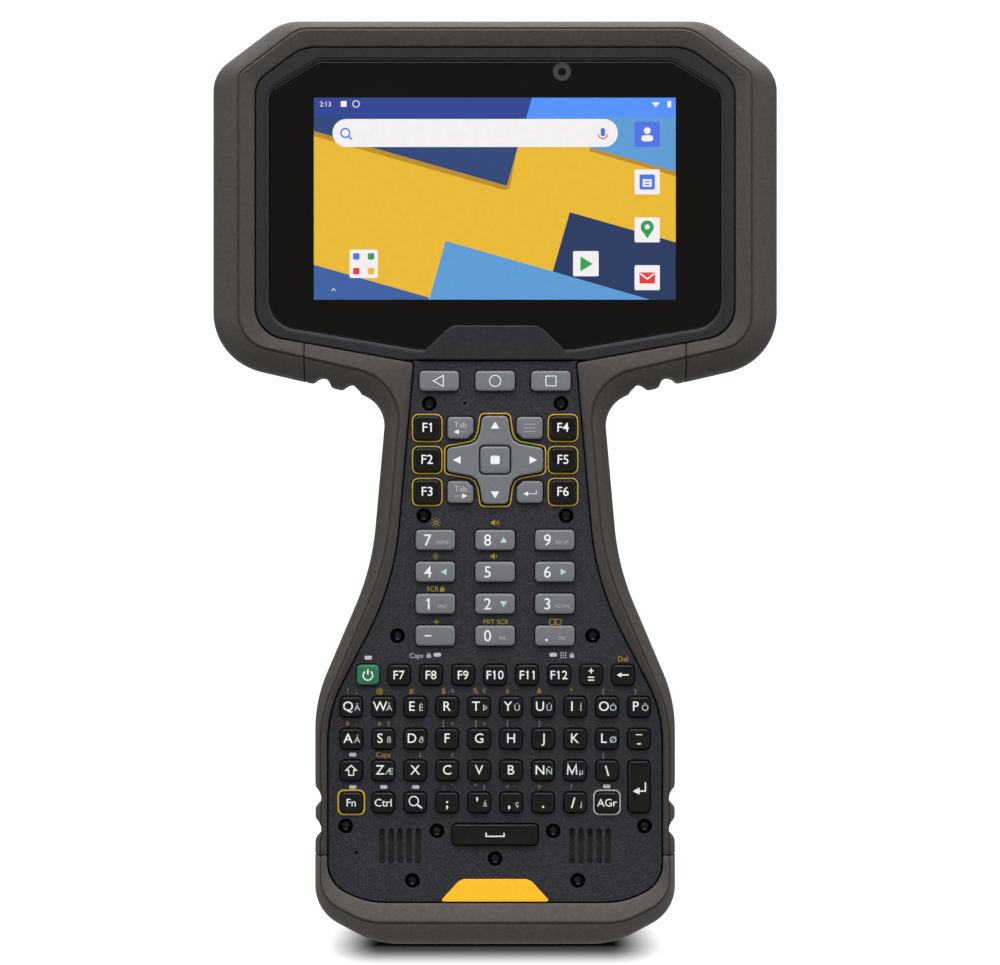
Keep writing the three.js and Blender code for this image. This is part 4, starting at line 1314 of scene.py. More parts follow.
def small_key_marks(text):
    """Legends of one small key, about its middle."""
    white = "print_white"
    if text == "back":
        return [(white, stroke([(1.7, 0), (-1.0, 0)], 0.42) + triangle("left", -1.2, 0, 0.8))]
    if text == "shift":
        arrow = [(0, 1.6), (1.6, 0.1), (0.75, 0.1), (0.75, -1.4), (-0.75, -1.4), (-0.75, 0.1), (-1.6, 0.1)]
        return [(white, stroke(arrow, 0.32, True))]
    if text == "search":
        return [(white, ring(1.4, 0.34, -0.4, 0.5) + stroke([(0.6, -0.55), (2.1, -1.7)], 0.5))]
    if text == "=":
        plus = stroke([(-0.8, 1.25), (0.8, 1.25)], 0.34) + stroke([(0, 2.05), (0, 0.45)], 0.34)
        upper, lower = (stroke([(-1.0, z), (1.0, z)], 0.36) for z in (-0.7, -1.6))
        return [(white, upper + lower + plus)]
    if text == "_-":
        return [(white, stroke([(-1.0, 1.3), (1.0, 1.3)], 0.26) + stroke([(-0.6, -1.5), (0.6, -1.5)], 0.42))]
    if text in ("Fn", "Ctrl", "AGr"):
        return [(white, lettering(text, 2.3, bold=0.004))]
    if text[0] == "F" and len(text) > 1:
        return [(white, lettering(text, 2.6, bold=0.007))]
    if text[0] in ";',./\\":
        marks = [(white, lettering(text[0], 3.0, -0.6 if len(text) > 1 else 0, bold=0.02))]
    elif text[0] == "M":
        marks = [(white, stroke([(-2.3, -1.2), (-2.1, 1.7), (-0.9, -0.9), (0.3, 1.7), (0.5, -1.2)], 0.42))]
    else:
        marks = [(white, lettering(text[0], 2.85, -0.95 if len(text) > 1 else 0, 0.25, bold=0.006))]
    if len(text) > 1:
        marks.append(("print_blue", lettering(text[1], 1.9, 1.85, -0.2, bold=0.003)))
    return marks


def row_places(node):
    low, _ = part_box(node)
    z = middle_of(node)[1]
    pitch = ROW_PITCH.get(node, KEY_PITCH)
    return [(low.x / MM + SMALL_KEY[0] / 2 + i * pitch, z) for i in range(len(ROWS[node]))]


def build_rows():
    for node, legends in ROWS.items():
        row = Piece("caps_" + node[5:])
        for (x, z), text in zip(row_places(node), legends):
            cap = plain_cap(x, z, *SMALL_KEY, 1.2)
            row.add(*cap.solid(), "black")
            for ink_name, spots in small_key_marks(text):
                row.decal(shifted(spots, x, z), ink_name, cap.level, 0.05)
        row.build(node, "key_black", node)


# Direction pad: one quarter of its outline about its middle, clockwise from the top.
PAD_QUARTER = [(3.9, 13.5), (4.6, 8.4), (5.6, 6.0), (7.4, 4.9), (14.7, 3.6)]


def pad_outline(spread=0.0):
    right = PAD_QUARTER + [(x, -z) for x, z in PAD_QUARTER[::-1]]
    points = [Vector(p) for p in right + [(-x, z) for x, z in right[::-1]]]
    radii = [1.5, 3.0, 1.6, 3.0, 1.5]
    radii = radii + radii[::-1]
    return filleted(moved_in(points, -spread), radii + radii[::-1], 5)


def build_pad():
    x, z = middle_of("dpad")
    outline = [p + Vector((x, z)) for p in pad_outline()]
    hole = rounded_rectangle(9.75, 9.05, 1.5, x, z)
    pad = Piece("direction_pad").add(*plate([outline, hole], 0.5, KEY_BASE, 0.55, 3), "grey")
    for way, dx, dz in (("up", 0, 10.6), ("down", 0, -10.6), ("left", -11.6, 0), ("right", 11.6, 0)):
        pad.decal(triangle(way, x + dx, z + dz, 1.25), "print_white", 0.5)
    pad.build("dpad", "key_grey", "dpad")


# ---------------------------------------------------------------- faceplate
SCREWS = [(20.2, 166.3), (21.8, 131.9), (29.9, 95.1), (45.8, 36.8), (17.8, 35.3), (25.35, 20.1)]
SCREW_SPOTS = [(0, 26.8)] + [(side * x, z) for x, z in SCREWS for side in (1, -1)]
# Slots over each speaker: count, pitch, width and height.
SPEAKER_SLOTS = (5, 2.77, 1.56, 10.9)
MICROPHONES = [(-42.5, 28.7), (-9.3, 166.4)]


def key_holes():
    """Outlines of the openings round every key."""
    holes = []
    for node in single_key_marks():
        if node == "key_dpad_centre":
            continue
        x, z = middle_of(node)
        if node in CORNER_KEYS:
            outline = corner_outline(*CORNER_KEYS[node], x, z, HOLE_GAP)
            holes.append(filleted(outline, [1.5] * len(outline)))
            continue
        width, height = (side - 2 * FLANGE + 2 * HOLE_GAP for side in size_of(node))
        holes.append(rounded_rectangle(width, height, 1.5, x, z))
    width, height = (side + 2 * HOLE_GAP for side in SMALL_KEY)
    for node in ROWS:
        holes += [rounded_rectangle(width, height, 1.5, x, z) for x, z in row_places(node)]
    x, z = middle_of("dpad")
    holes.append([p + Vector((x, z)) for p in pad_outline(0.4)])
    return holes


def speaker_slots():
    count, pitch, width, height = SPEAKER_SLOTS
    made = []
    for node in ("speaker_left", "speaker_right"):
        x, z = middle_of(node)
        for i in range(count):
            across = x + (i - (count - 1) / 2) * pitch
            made.append(rounded_rectangle(width, height, width / 2 - 0.02, across, z))
    return made


def build_faceplate():
    outline = clipped(lip_outline(0.45), HEAD_FLOOR - 0.25, False)
    loops = [outline, *key_holes(), *speaker_slots()]
    loops += [circle(2.3, x, z, 28) for x, z in SCREW_SPOTS]
    loops += [circle(0.5, x, z, 14) for x, z in MICROPHONES]
    face = Piece("keypad_plate").add(*plate(loops, PLATE_FRONT, 3.7, 0.17), "plate")
    for x, z in SCREW_SPOTS:
        # painted shade: each well's wall and floor are near black, for the shade deep in it
        wall = [at_depth(circle(2.32, x, z, 28), d) for d in (2.4, 5.6)]
        face.add(*lofted(wall, False, True), "dark", False)
    for x, z in MICROPHONES:
        # painted shade: a near black disc behind each microphone hole, for the shade inside it
        face.decal(mark(circle(0.6, x, z, 14)), "dark", 3.9, 0)
    face.build("casing", "plate", "faceplate")


def six_lobes(x, z, middle, swing):
    """Outline of a six-lobed socket, whose radius swings about a middle one."""
    spots = []
    for k in range(24):
        angle = -2 * math.pi * k / 24
        radius = middle + swing * math.cos(6 * angle)
        spots.append(Vector((x + radius * math.cos(angle), z + radius * math.sin(angle))))
    return spots


def build_screws():
    """Pan heads deep in their wells, each with a six-lobed socket."""
    screws = Piece("plate_screws")
    profile = [
        (1.0, 12.0), (1.0, 5.4), (2.05, 5.3), (2.05, 4.6), (1.95, 4.3), (1.7, 4.08), (1.3, 3.97), (1.15, 4.1),
    ]
    for x, z in SCREW_SPOTS:
        rings = [at_depth(circle(r, x, z, 24), d) for r, d in profile]
        rings += [at_depth(six_lobes(x, z, 0.92, 0.17), depth) for depth in (4.2, 5.1)]
        screws.add(*lofted(rings), "dark_steel")
    screws.build("casing", "dark_steel", "faceplate_screws")


# Prints on the faceplate: small pictures, each about its own place.
def lock_marks(x, z, scale=1.0):
    body = mark(rounded_rectangle(1.5, 1.15, 0.15, 0, -0.35))
    return shifted(body + stroke(arc_line(0.48, 0, 180, 10, 0, 0.2), 0.24), x, z, scale)


def sun_marks(x, z, radius):
    rays = []
    for k in range(8):
        angle = math.radians(45 * k)
        c, s = math.cos(angle), math.sin(angle)
        rays += stroke([(c * radius * 0.68, s * radius * 0.68), (c * radius, s * radius)], 0.2)
    return shifted(ring(radius * 0.36, 0.22) + rays, x, z)


def speaker_marks(x, z, waves):
    cone = mark([(-1.1, 0.4), (-0.6, 0.4), (0.1, 0.95), (0.1, -0.95), (-0.6, -0.4), (-1.1, -0.4)])
    for k in range(waves):
        cone += stroke(arc_line(0.6 + 0.5 * k, -42, 42, 8, 0.1), 0.2)
    return shifted(cone, x, z)


def grid_marks(x, z):
    cells = []
    for i in (-1, 0, 1):
        for j in (-1, 0, 1):
            cells += mark(rectangle(0.42, 0.42, i * 0.72, j * 0.72))
    return shifted(cells, x, z)


def key_ring(node, spread, width, radius):
    """A printed line round a key."""
    x, z = middle_of(node)
    w, h = (side - 2 * FLANGE + 2 * spread for side in size_of(node))
    return stroke(rounded_rectangle(w, h, radius, x, z), width, closed=True)


def yellow_prints():
    marks = []
    for n in range(1, 7):
        marks += key_ring(f"key_f{n}", 0.5, 0.36, 1.8)
    x, z = middle_of("dpad")
    marks += stroke([p + Vector((x, z)) for p in pad_outline(0.75)], 0.38, closed=True)
    x, z = row_places("keys_modifier_row")[0]
    marks += stroke(rounded_rectangle(8.0, 7.4, 1.7, x, z), 0.48, closed=True)
    return marks


def gold_prints():
    above = {"7": 129.8, "4": 119.5, "1": 109.5, "-": 99.4}
    marks = []
    marks += sun_marks(-18.2, above["7"], 1.5) + speaker_marks(-0.1, above["7"], 2)
    marks += sun_marks(-18.2, above["4"], 1.05) + speaker_marks(-0.2, above["4"], 1)
    marks += lettering("SCR", 1.45, -19.1, above["1"], bold=0.004) + lock_marks(-16.2, above["1"], 0.9)
    marks += stroke([(-18.7, 99.4), (-17.3, 99.4)], 0.3) + stroke([(-18.0, 98.7), (-18.0, 100.1)], 0.3)
    marks += lettering("PRT SCR", 1.45, 0.3, above["-"], bold=0.004)
    marks += stroke(rounded_rectangle(1.6, 1.6, 0.2, 17.5, above["-"]), 0.22, True)
    marks += stroke(rounded_rectangle(1.6, 1.6, 0.2, 19.4, above["-"]), 0.22, True)
    for node, texts in SYMBOLS.items():
        for (x, z), text in zip(row_places(node), texts):
            if text:
                marks += lettering(text, 1.55, x - (1.1 if len(text) == 1 else 0), z + 4.85, bold=0.0)
    return marks


# Yellow symbols printed above the small keys, one for each key.
SYMBOLS = {
    "keys_function_row": ["", "", "", "", "", "", "", "Del"],
    "keys_letter_row_top": ["!", "@", "#", "$", "%", "ä", "&", "*", "(", ")"],
    "keys_letter_row_middle": ["ä", "a", "", "[", "]", "{", "}", "", "", ""],
    "keys_letter_row_bottom": ["", "Caps", "", "", "", "", "", "", "|"],
    "keys_modifier_row": ["", "", "", ":", '"', "<", ">", "?", ""],
}
# Grey symbols beside them.
SECOND_SYMBOLS = {
    "keys_letter_row_top": ["¡", "", "", "¤", "€", "", "", "", "´", "`"],
    "keys_letter_row_middle": ["", "§", "", "«", "»", "", "", "", "", ""],
    "keys_letter_row_bottom": ["", "", "£", "¢", "", "", "", "", ""],
    "keys_modifier_row": ["", "", "", "°", "à", "", "", "", ""],
}
# Lenses of the indicator lamps: x and z.
LAMPS = [
    (-38.9, 88.4), (-17.7, 89.3), (17.8, 89.3), (-43.6, 58.7),
    (-43.6, 48.8), (-34.1, 48.8), (-24.3, 48.8), (34.2, 49.0),
]


def white_prints():
    marks = lettering("Caps", 1.45, -24.1, 89.1, bold=0.004) + lock_marks(-20.3, 89.2, 0.9)
    marks += grid_marks(20.9, 89.2) + lock_marks(23.5, 89.2, 0.9)
    x, z = row_places("keys_modifier_row")[-1]
    marks += stroke(rounded_rectangle(8.0, 7.4, 1.7, x, z), 0.45, closed=True)
    return marks


def build_prints():
    yellow = Piece("print_yellow_marks").decal(yellow_prints(), "print_yellow", PLATE_FRONT)
    yellow.decal(gold_prints(), "print_gold", PLATE_FRONT).build("casing", "yellow")
    white = Piece("print_white_marks").decal(white_prints(), "print_soft", PLATE_FRONT)
    white.build("casing", "print_white")
    greys = []
    for node, texts in SECOND_SYMBOLS.items():
        for (x, z), text in zip(row_places(node), texts):
            if text:
                greys += lettering(text, 1.4, x + 1.6, z + 4.85, bold=0)
    grey = Piece("print_grey_marks").decal(greys, "print_dim", PLATE_FRONT)
    grey.build("casing", "print_white")
    lamps = Piece("lamp_lenses")
    for x, z in LAMPS:
        lamps.add(*plate([rounded_rectangle(2.3, 1.2, 0.5, x, z)], PLATE_FRONT - 0.12, 3.4, 0.1), "lamp")
    lamps.build("casing", "lens")


def build_badge():
    x, _ = middle_of("foot_badge")
    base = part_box("foot_badge")[0].z / MM
    corners = [(16.9, 0), (11.2, 6.2), (9.6, 6.9), (-9.6, 6.9), (-11.2, 6.2), (-16.9, 0)]
    spots = filleted([Vector((x + a, base + b)) for a, b in corners[::-1]], [0.5, 2, 2, 2, 2, 0.5])
    badge = Piece("badge_plain").add(*plate([spots], 1.75, 2.3, 0.14), "yellow")
    badge.build("casing", "yellow", "foot_badge")


# ---------------------------------------------------------------- rear housing
# Battery bay: half width, low, high and depth of its floor.
BAY = (37, 12.3, 68.7, 21.4)
# Module cover: half width, low and high. Mounting plate: half width, half height and height of its middle.
MODULE = (57, 222, 270)
MOUNT = (26, 18, 199)
# A depth that is clear of the back.
BEYOND = 60
# The rear shell from the side wall to the back panel: inset and depth.
REAR_STATIONS = [
    (3.55, 15.9), (3.55, 27.6), (3.75, 28.6), (4.3, 29.6), (5.2, 30.15), (9.0, 30.7), (9.35, 31.0),
    (9.4, 32.6), (9.65, 33.4), (10.2, 33.9), (11.2, 34.05),
]
# Shallow grip grooves across the lower part of the neck's back: height of each.
GROOVES = [112, 118, 124, 130, 136, 142]


def housing_skin():
    """The rear shell with its raised back panel, open strips across so that the saddle shows."""
    runs = {0: 8, 1: 3, 2: 14, 3: 8, 4: 16, 5: 10, 6: 10, 7: 3, 8: 4}
    halves = [half_outline(CASING, evenly(inset), BUMPER_CORNERS, runs) for inset, _ in REAR_STATIONS]
    loops = []
    for half, (_, depth) in zip(halves, REAR_STATIONS):
        loops.append([(p.x, pressed(p.y, depth), p.y) for p in both_halves(half)])
    points, faces = lofted(loops, False, False)
    count, right = len(loops[0]), len(halves[0])
    for start, flip in ((0, False), ((len(loops) - 1) * count, True)):
        for i in range(right - 1):
            a, b = i, i + 1
            c, d = (count - b) % count, (count - a) % count
            quad = [start + n for n in dict.fromkeys((a, b, c, d))]
            faces.append(tuple(quad[::-1] if flip else quad))
    return points, faces


def build_housing():
    bay_x, bay_low, bay_high, bay_depth = BAY
    module_x, module_low, module_high = MODULE
    w, h, z = MOUNT
    camera_x, camera_z = middle_of("rear_camera")
    cuts = [
        rounded_box(-bay_x, bay_x, bay_depth, BEYOND, bay_low, bay_high, 1.2),
        rounded_box(-module_x, module_x, 31.5, BEYOND, module_low, module_high, 1.5),
        rounded_box(-w - 0.3, w + 0.3, 33.0, BEYOND, z - h - 0.3, z + h + 0.3, 1.5),
        rounded_box(-10, 10, 31.2, BEYOND, 70.4, 79, 1.0),
        lofted([at_depth(circle(5.1, camera_x, camera_z, 40), d) for d in (20, BEYOND)]),
        rounded_box(48, 56, 16.3, 19.7, 54.4, 63.6, 0.5),
    ]
    cuts += [groove_tool(z) for z in GROOVES]
    for x, z in REAR_SCREWS:
        cuts.append(lofted([at_depth(circle(2.6, x, z, 28), d) for d in (30.6, BEYOND)]))
    for x in range(-5, 6):
        slot = rounded_rectangle(1.5, 6.5, 0.7, x * 3.4, 216.5)
        cuts.append(lofted([at_depth(slot, d) for d in (32.8, BEYOND)]))
    housing = Piece("housing_rear").add(*housing_skin(), "shell")
    build_cut(housing, cuts, "casing", "shell", "rear_housing", bevel=0.3)


def groove_tool(z):
    """A shallow groove that follows the hollow of the neck."""
    depth = pressed(z, 34.05) - 0.7
    return rounded_box(-21, 21, depth, BEYOND, z - 1.1, z + 1.1, 0.5, 2)


REAR_SCREWS = [(64, 262), (-64, 262), (66, 199), (-66, 199), (28, 163), (-28, 163), (33, 86), (-33, 86)]


def build_rear_screws():
    screws = Piece("rear_screws")
    profile = [(1.2, 31.0), (2.2, 31.1), (2.25, 31.9), (2.0, 32.35), (1.4, 32.55), (0.95, 32.5)]
    for x, z in REAR_SCREWS:
        rings = [at_depth(circle(r, x, z, 24), pressed(z, d + 0.6)) for r, d in profile]
        rings += [at_depth(six_lobes(x, z, 0.8, 0.13), pressed(z, depth + 0.6)) for depth in (32.4, 31.7)]
        screws.add(*lofted(rings), "dark_steel")
    screws.build("casing", "dark_steel")


def build_module():
    """Radio module cover: a plate with a blank label panel and six screws."""
    module_x, low, high = MODULE
    x, z = module_x - 0.3, (low + high) / 2
    outline = rounded_rectangle(2 * x, high - low - 0.6, 2.5, 0, z, 6)
    cover = Piece("module_lid").add(*plate([outline], 31.9, 35.4, 0.7, 3), "shell")
    panel = rounded_rectangle(62, 26, 1.5, 0, z, 5)
    cover.add(*plate([panel, moved_panel(panel, z)], 35.1, 35.65, 0.15), "shell")
    for dx in (-1, 1):
        for i in range(7):
            rib = rounded_rectangle(1.4, 22, 0.6, dx * (36.5 + 2.7 * i), z, 3)
            cover.add(*plate([rib], 35.1, 35.6, 0.2), "shell")
    cover.build("casing", "shell", "module_cover")
    screws = Piece("module_screws")
    head = [(0.9, 35.0), (1.9, 35.05), (1.9, 35.4), (1.6, 35.8), (0.9, 35.95)]
    socket = mark([(0.8 * math.cos(k), 0.8 * math.sin(k)) for k in (0, 1.05, 2.1, 3.14, 4.19, 5.24)])
    for x in (-53.5, 0, 53.5):
        for z in (low + 3.6, high - 3.6):
            screws.add(*turned_solid(head, x, z, 24), "dark_steel")
            # painted shade: a flat near black hexagon on the head, for the shade in its socket
            screws.decal(shifted(socket, x, z), "dark", 35.98, 0)
    screws.build("casing", "dark_steel")


def moved_panel(panel, z):
    """The panel's outline a little smaller, which leaves a raised frame."""
    return [Vector((p.x * 0.97, z + (p.y - z) * 0.93)) for p in panel]


def build_mount():
    w, h, z = MOUNT
    outline = rounded_rectangle(2 * w, 2 * h, 2.5, 0, z, 6)
    holes = [circle(2.3, side * 19, z + rise * 15, 28) for side in (1, -1) for rise in (1, -1)]
    boss = circle(6.2, 0, z, 40)
    flat = Piece("pole_plate").add(*plate([outline, boss, *holes], 33.3, 35.8, 0.35, 3), "steel")
    flat.build("casing", "steel", "mount_plate")
    hub = Piece("pole_plate_hub")
    profile = [(6.1, 33.4), (6.1, 34.9), (5.7, 35.3), (3.4, 35.3), (3.0, 34.9), (3.0, 34.0)]
    hub.add(*turned_solid(profile, 0, z, 40), "dark_steel")
    hub.build("casing", "dark_steel")


def build_battery():
    x, z = middle_of("battery_pack")
    width, height = size_of("battery_pack")
    outline = rounded_rectangle(width, height, 2.5, x, z, 6)
    pack = Piece("battery").add(*plate([outline], BAY[3] + 0.3, 34.2, 0.8, 4), "shell")
    for i in range(6):
        rib = rounded_rectangle(width - 16, 1.5, 0.7, x, z + height / 2 - 6.5 - 2.6 * i, 4)
        pack.add(*plate([rib], 33.9, 34.75, 0.35), "shell")
    frame_line = rounded_rectangle(width - 12, 24, 2, x, z - 11, 5)
    inner = rounded_rectangle(width - 13.6, 22.4, 1.3, x, z - 11, 5)
    pack.add(*plate([frame_line, inner], 33.9, 34.5, 0.15), "shell")
    for i in range(4):
        contact = rounded_rectangle(3.4, 6, 0.5, x - 9 + 6 * i, z - height / 2 + 6)
        pack.add(*plate([contact], BAY[3] + 0.15, BAY[3] + 0.5, 0.05), "steel")
    pack.build("battery_pack", "shell", "battery_pack")


def build_latch():
    x, z = middle_of("battery_latch")
    width, height = size_of("battery_latch")
    outline = rounded_rectangle(width, height, 1.2, x, z, 5)
    latch = Piece("latch_slider").add(*plate([outline], 31.6, 33.5, 0.4), "yellow")
    for k in (-1, 0, 1):
        ridge = rounded_box(x - 6.5, x + 6.5, 33.2, 34.7, z + k * 1.6 - 0.45, z + k * 1.6 + 0.45, 0.28)
        latch.add(*ridge, "yellow")
    latch.build("battery_latch", "yellow", "battery_latch")


def build_rear_camera():
    x, z = middle_of("rear_camera")
    barrel = [(4.75, 24), (4.75, 35.0), (4.4, 35.45), (3.9, 35.5), (3.5, 35.1), (3.4, 34.6)]
    camera = Piece("camera_rear").add(*turned_solid(barrel, x, z, 48), "lens")
    camera.add(*turned_solid([(3.4, 34.2), (3.4, 34.75), (2.2, 34.98), (1.0, 35.05)], x, z, 48), "glass")
    camera.build("casing", "lens", "rear_camera")
    lens = rounded_rectangle(3, 3, 1.2, x, z - 9.5)
    lamp = Piece("camera_lamp").add(*plate([lens], 33.6, 34.5, 0.2), "lamp")
    lamp.build("casing", "lens")


# ---------------------------------------------------------------- hand strap
STRAP_X, STRAP_LOW, STRAP_HIGH, STRAP_BAR, STRAP_THICK = 18, 84, 174, 39.3, 2.0
LOOP_RADIUS = 3.4
CROWN = 46.9


def strap_line():
    """The webbing's middle line in depth and z: round one bar, over the hand, round the other."""
    half = (STRAP_HIGH - STRAP_LOW) / 2
    centre = (STRAP_HIGH + STRAP_LOW) / 2
    rise = CROWN - STRAP_BAR - LOOP_RADIUS
    radius = (half**2 + rise**2) / (2 * rise)

    def main(z):
        return CROWN - radius + math.sqrt(radius**2 - (z - centre) ** 2)

    lower = []
    for k in range(13):
        z = STRAP_LOW + 21 - k * 21 / 12
        t = min((z - STRAP_LOW) / 11, 1)
        share = t * t * (3 - 2 * t)
        close = main(z) - STRAP_THICK - 0.15
        lower.append((STRAP_BAR - LOOP_RADIUS + (close - STRAP_BAR + LOOP_RADIUS) * share, z))
    for k in range(1, 12):
        angle = math.pi * k / 12
        lower.append((STRAP_BAR - LOOP_RADIUS * math.cos(angle), STRAP_LOW - LOOP_RADIUS * math.sin(angle)))
    middle = [(main(STRAP_LOW + 2 * half * k / 40), STRAP_LOW + 2 * half * k / 40) for k in range(41)]
    upper = [(d, 2 * centre - z) for d, z in lower[::-1]]
    return lower + middle + upper, main


def build_strap():
    line, main = strap_line()
    loops = []
    for i, (d, z) in enumerate(line):
        before, after = line[max(i - 1, 0)], line[min(i + 1, len(line) - 1)]
        run = Vector((after[0] - before[0], after[1] - before[1])).normalized()
        normal = Vector((run.y, -run.x))
        section = rounded_rectangle(2 * STRAP_X, STRAP_THICK, 0.8, 0, 0, 3)
        wide = []
        for p in section:
            edge = abs(p.x) / STRAP_X
            puff = 1 - 0.14 * max(0, edge - 0.82) / 0.18
            wide.append((p.x, d + normal.x * p.y * puff, z + normal.y * p.y * puff))
        loops.append(wide)
    Piece("strap_webbing").add(*lofted(loops), "webbing").build("casing", "webbing", "hand_strap")
    build_stitches(main)
    build_pad_sleeve(main)


def build_stitches(main):
    """Two sewn boxes with a cross in each, in short separate stitches."""
    stitches = Piece("strap_stitches")
    for base, turn in ((STRAP_LOW + 5.5, 1), (STRAP_HIGH - 5.5, -1)):
        top = base + turn * 13
        left, right = -14.5, 14.5
        lines = [
            ((left, base), (right, base)), ((right, base), (right, top)), ((right, top), (left, top)),
            ((left, top), (left, base)), ((left, base), (right, top)), ((left, top), (right, base)),
        ]
        for a, b in lines:
            add_stitches(stitches, Vector(a), Vector(b), main)
    stitches.build("casing", "webbing")


def add_stitches(piece, start, end, main):
    run = end - start
    count = max(int(run.length / 2.3), 2)
    unit = run.normalized()
    across = Vector((-unit.y, unit.x))
    for k in range(count):
        centre = start + run * ((k + 0.5) / count)
        loops = []
        for t, r in ((-0.82, 0.08), (-0.6, 0.24), (0, 0.3), (0.6, 0.24), (0.82, 0.08)):
            section = []
            for j in range(6):
                angle = math.pi * 2 * j / 6
                spot = centre + unit * t + across * (r * math.cos(angle))
                lift = STRAP_THICK / 2 + 0.02 + r * math.sin(angle)
                section.append((spot.x, main(spot.y) + lift, spot.y))
            loops.append(section)
        piece.add(*lofted(loops), "thread")


def build_pad_sleeve(main):
    """Soft sleeve round the middle of the strap, tapered at its ends and thinner along quilted lines."""
    sleeve = Piece("strap_sleeve")
    low, high, steps = 106.0, 152.0, 24
    loops = []
    for k in range(steps + 1):
        z = low + (high - low) * k / steps
        end = min(k, steps - k) / 3
        swell = 0.62 + 0.38 * min(end, 1)
        quilt = 1 - 0.10 * (1 if k % 6 == 0 else 0)
        section = rounded_rectangle(2 * (STRAP_X + 0.55), 3.1 * swell * quilt, 1.2 * swell * quilt, 0, 0, 4)
        loops.append([(p.x, main(z) - 0.25 + p.y, z) for p in section])
    sleeve.add(*lofted(loops), "sleeve")
    piece = sleeve.build("casing", "webbing")


def build_bridges():
    """Posts and bars that hold the strap's ends."""
    bridges = Piece("strap_bridges")
    for z in (STRAP_LOW, STRAP_HIGH):
        for side in (-1, 1):
            near, far_x = sorted((side * 18.4, side * 22.4))
            bridges.add(*rounded_box(near, far_x, pressed(z, 34) - 2, 41.8, z - 3, z + 3, 0.9), "shell")
            foot = rounded_box(near - 0.9, far_x + 0.9, pressed(z, 34) - 2, 35.0, z - 4, z + 4, 0.7)
            bridges.add(*foot, "shell")
        angles = [2 * math.pi * j / 20 for j in range(20)]
        loops = []
        for k in range(9):
            x = -19.5 + 39 * k / 8
            loops.append([(x, STRAP_BAR + 1.9 * math.cos(a), z + 1.9 * math.sin(a)) for a in angles])
        bridges.add(*lofted(loops), "steel")
    bridges.build("casing", "shell")


def build_port_door():
    low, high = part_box("port_door")
    d0, d1 = ((v.y - cad_low.y) / MM for v in (low, high))
    x0, x1, z0, z1 = low.x / MM, high.x / MM, low.z / MM, high.z / MM
    door = Piece("socket_door").add(*rounded_box(x0, x1 - 0.15, d0, d1, z0, z1, 0.55), "rubber")
    for k in (-1, 0, 1):
        z = (z0 + z1) / 2 + k * 2.4
        door.add(*rounded_box(x1 - 0.6, x1, d0 + 1.6, d1 - 2.6, z - 0.5, z + 0.5, 0.22), "rubber")
    door.add(*rounded_box(x0 - 0.6, x0 + 0.2, d0 + 3.2, d1 - 3.4, z0 + 3, z1 - 3, 0.25), "silicone")
    door.build("port_door", "rubber", "port_door")
    socket = Piece("socket_contacts")
    socket.add(*rounded_box(47.9, 50.2, 16.9, 19.1, 55.3, 62.7, 0.3), "steel")
    socket.build("casing", "steel")


def build_rear():
    build_housing()
    build_rear_screws()
    build_module()
    build_mount()
    build_battery()
    build_latch()
    build_rear_camera()
    build_strap()
    build_bridges()
    build_port_door()


# ---------------------------------------------------------------- CAD nodes that stay
KEPT_NODES = {
    "keymat": "silicone",
    "dpad_carrier": "silicone",
    "keypad_board": "board",
    "main_board": "board",
    "front_camera": "lens",
    "speaker_left": "speaker",
    "speaker_right": "speaker",
}


def paint_kept_nodes():
    for node, paint in KEPT_NODES.items():
        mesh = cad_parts[node].data
        mesh.materials.clear()
        mesh.materials.append(PAINT[paint])


# ---------------------------------------------------------------- stage, lights and camera
def area_light(name, place_at, aim, size, power):
    data = bpy.data.lights.new(name, "AREA")
    data.shape = "RECTANGLE"
    data.size, data.size_y = size
    data.energy = power
    light = bpy.data.objects.new(name, data)
    light.location = place_at
    light.rotation_euler = (Vector(aim) - Vector(place_at)).to_track_quat("-Z", "Y").to_euler()
    bpy.context.scene.collection.objects.link(light)


# Painted contact shade, darkening the floor's glow: half sizes of the patch that the object stands on,
# and how fast the shade fades away from it, sideways and in depth.
FOOTPRINT = (0.034, 0.022, 1.0)
SHADE_FADE = (3.2, 1.0, 0.0)
SHADE_START, SHADE_END = 0.006, 0.070
# Glow of the floor where the camera sees it, and as the object's light.
GLOW_SEEN, GLOW_CAST = 1.1, 0.75


def painted_contact_shade(floor):
    """Painted contact shade: zero under the object's foot and one away from it."""
    beyond = floor.where
    steps = (
        ("ABSOLUTE", (0, 0, 0)),
        ("SUBTRACT", FOOTPRINT),
        ("MAXIMUM", (0, 0, 0)),
        ("MULTIPLY", SHADE_FADE),
    )
    for operation, other in steps:
        step = floor.new("ShaderNodeVectorMath", operation=operation)
        floor.link(beyond, step.inputs[0])
        step.inputs[1].default_value = other
        beyond = step.outputs["Vector"]
    away = floor.new("ShaderNodeVectorMath", operation="LENGTH")
    floor.link(beyond, away.inputs[0])
    return floor.ranged(away.outputs["Value"], 0, 1, SHADE_START, SHADE_END, "SMOOTHSTEP")


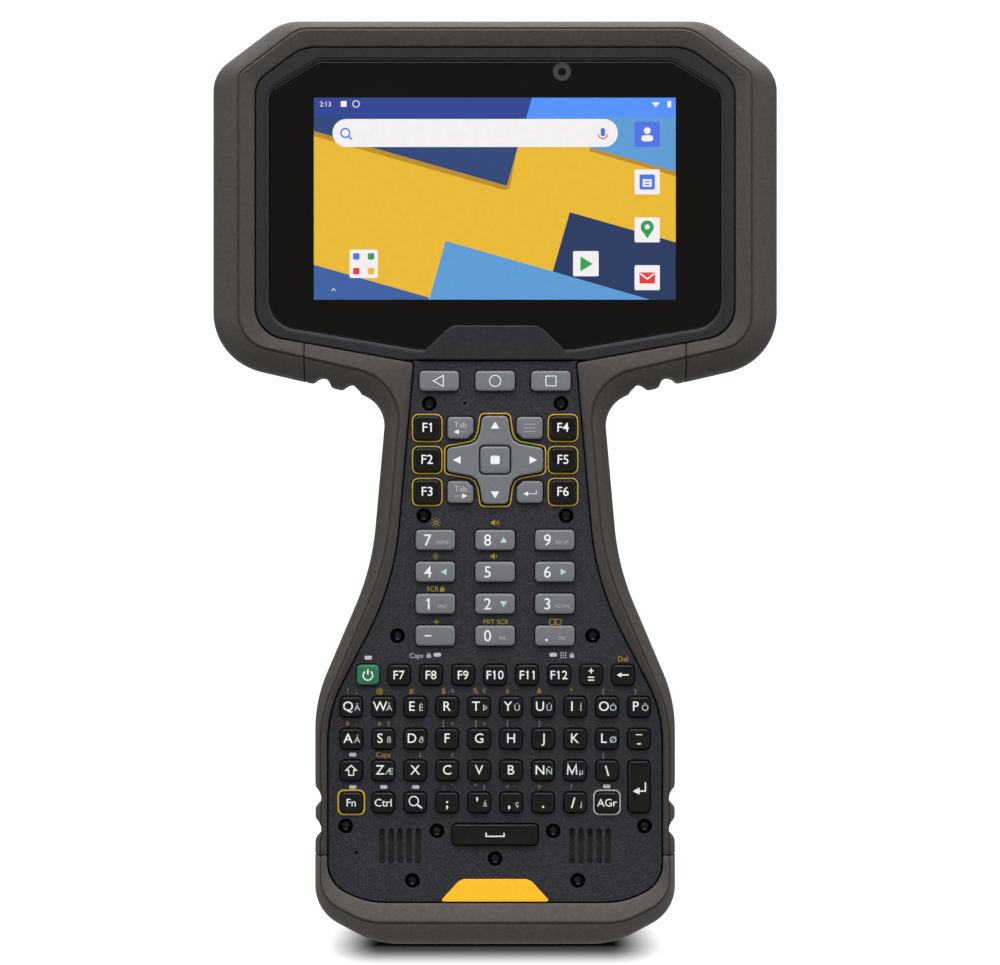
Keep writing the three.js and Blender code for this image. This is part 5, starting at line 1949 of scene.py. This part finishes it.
def build_stage():
    """A white floor which lights the object from below, with painted contact shade round its foot where the
    camera sees it.
    """
    floor = Finish("stage_floor", (0.03, 0.03, 0.03), 0.9, Specular_IOR_Level=0.0)
    path = floor.new("ShaderNodeLightPath")
    glow = floor.new("ShaderNodeMix", data_type="FLOAT")
    floor.link(path.outputs["Is Camera Ray"], glow.inputs["Factor"])
    glow.inputs[2].default_value = GLOW_CAST
    floor.link(floor.ranged(painted_contact_shade(floor), 0, GLOW_SEEN, 0, 1), glow.inputs[3])
    floor.link(glow.outputs[0], floor.shader.inputs["Emission Strength"])
    floor.shader.inputs["Emission Color"].default_value = (1, 1, 1, 1)
    reach = 6.0
    corners = [(-reach, -reach, 0), (reach, -reach, 0), (reach, reach, 0), (-reach, reach, 0)]
    mesh = bpy.data.meshes.new("floor")
    mesh.from_pydata(corners, [], [(0, 1, 2, 3)])
    mesh.materials.append(floor.material)
    ground = bpy.data.objects.new("floor", mesh)
    ground.location.z = cad_low.z - 0.0002
    bpy.context.scene.collection.objects.link(ground)


def build_world():
    """White where the camera sees it, and a dim grey room for the object's own light."""
    world = bpy.data.worlds.new("studio")
    bpy.context.scene.world = world
    world.use_nodes = True
    tree = world.node_tree
    background = tree.nodes["Background"]
    path = tree.nodes.new("ShaderNodeLightPath")
    level = tree.nodes.new("ShaderNodeMapRange")
    level.inputs["To Min"].default_value = 0.10
    level.inputs["To Max"].default_value = 1.15
    tree.links.new(path.outputs["Is Camera Ray"], level.inputs["Value"])
    tree.links.new(level.outputs["Result"], background.inputs["Strength"])
    background.inputs["Color"].default_value = (1, 1, 1, 1)


def build_lights():
    centre = (0, 0, 0.15)
    area_light("key_softbox", (0, -0.44, 1.05), centre, (1.5, 0.9), 25)
    area_light("overhead_softbox", (0, 0.2, 1.15), centre, (1.5, 0.7), 26)
    area_light("front_softbox", (0, -1.15, 0.80), centre, (1.4, 0.4), 3.5)
    area_light("left_strip", (-0.95, -0.25, 0.30), centre, (0.4, 0.9), 4.0)
    area_light("right_strip", (0.95, -0.25, 0.30), centre, (0.4, 0.9), 4.0)
    area_light("rear_softbox", (0, 1.2, 0.8), centre, (1.2, 0.8), 8)


CAMERA_PLACE = (0.0015, -1.524, 0.1421)


def build_camera():
    data = bpy.data.cameras.new("camera")
    data.lens = 176.5
    data.sensor_width = 36
    camera = bpy.data.objects.new("camera", data)
    camera.location = CAMERA_PLACE
    camera.rotation_euler = (math.radians(90), 0, 0)
    bpy.context.scene.collection.objects.link(camera)
    bpy.context.scene.camera = camera
    bpy.context.scene.view_settings.view_transform = "Standard"


def build_all():
    build_bumper()
    build_bezel()
    build_glass()
    build_screen()
    build_single_keys()
    build_rows()
    build_pad()
    build_faceplate()
    build_screws()
    build_prints()
    build_badge()
    build_rear()
    paint_kept_nodes()
    build_stage()
    build_world()
    build_lights()
    build_camera()


build_all()
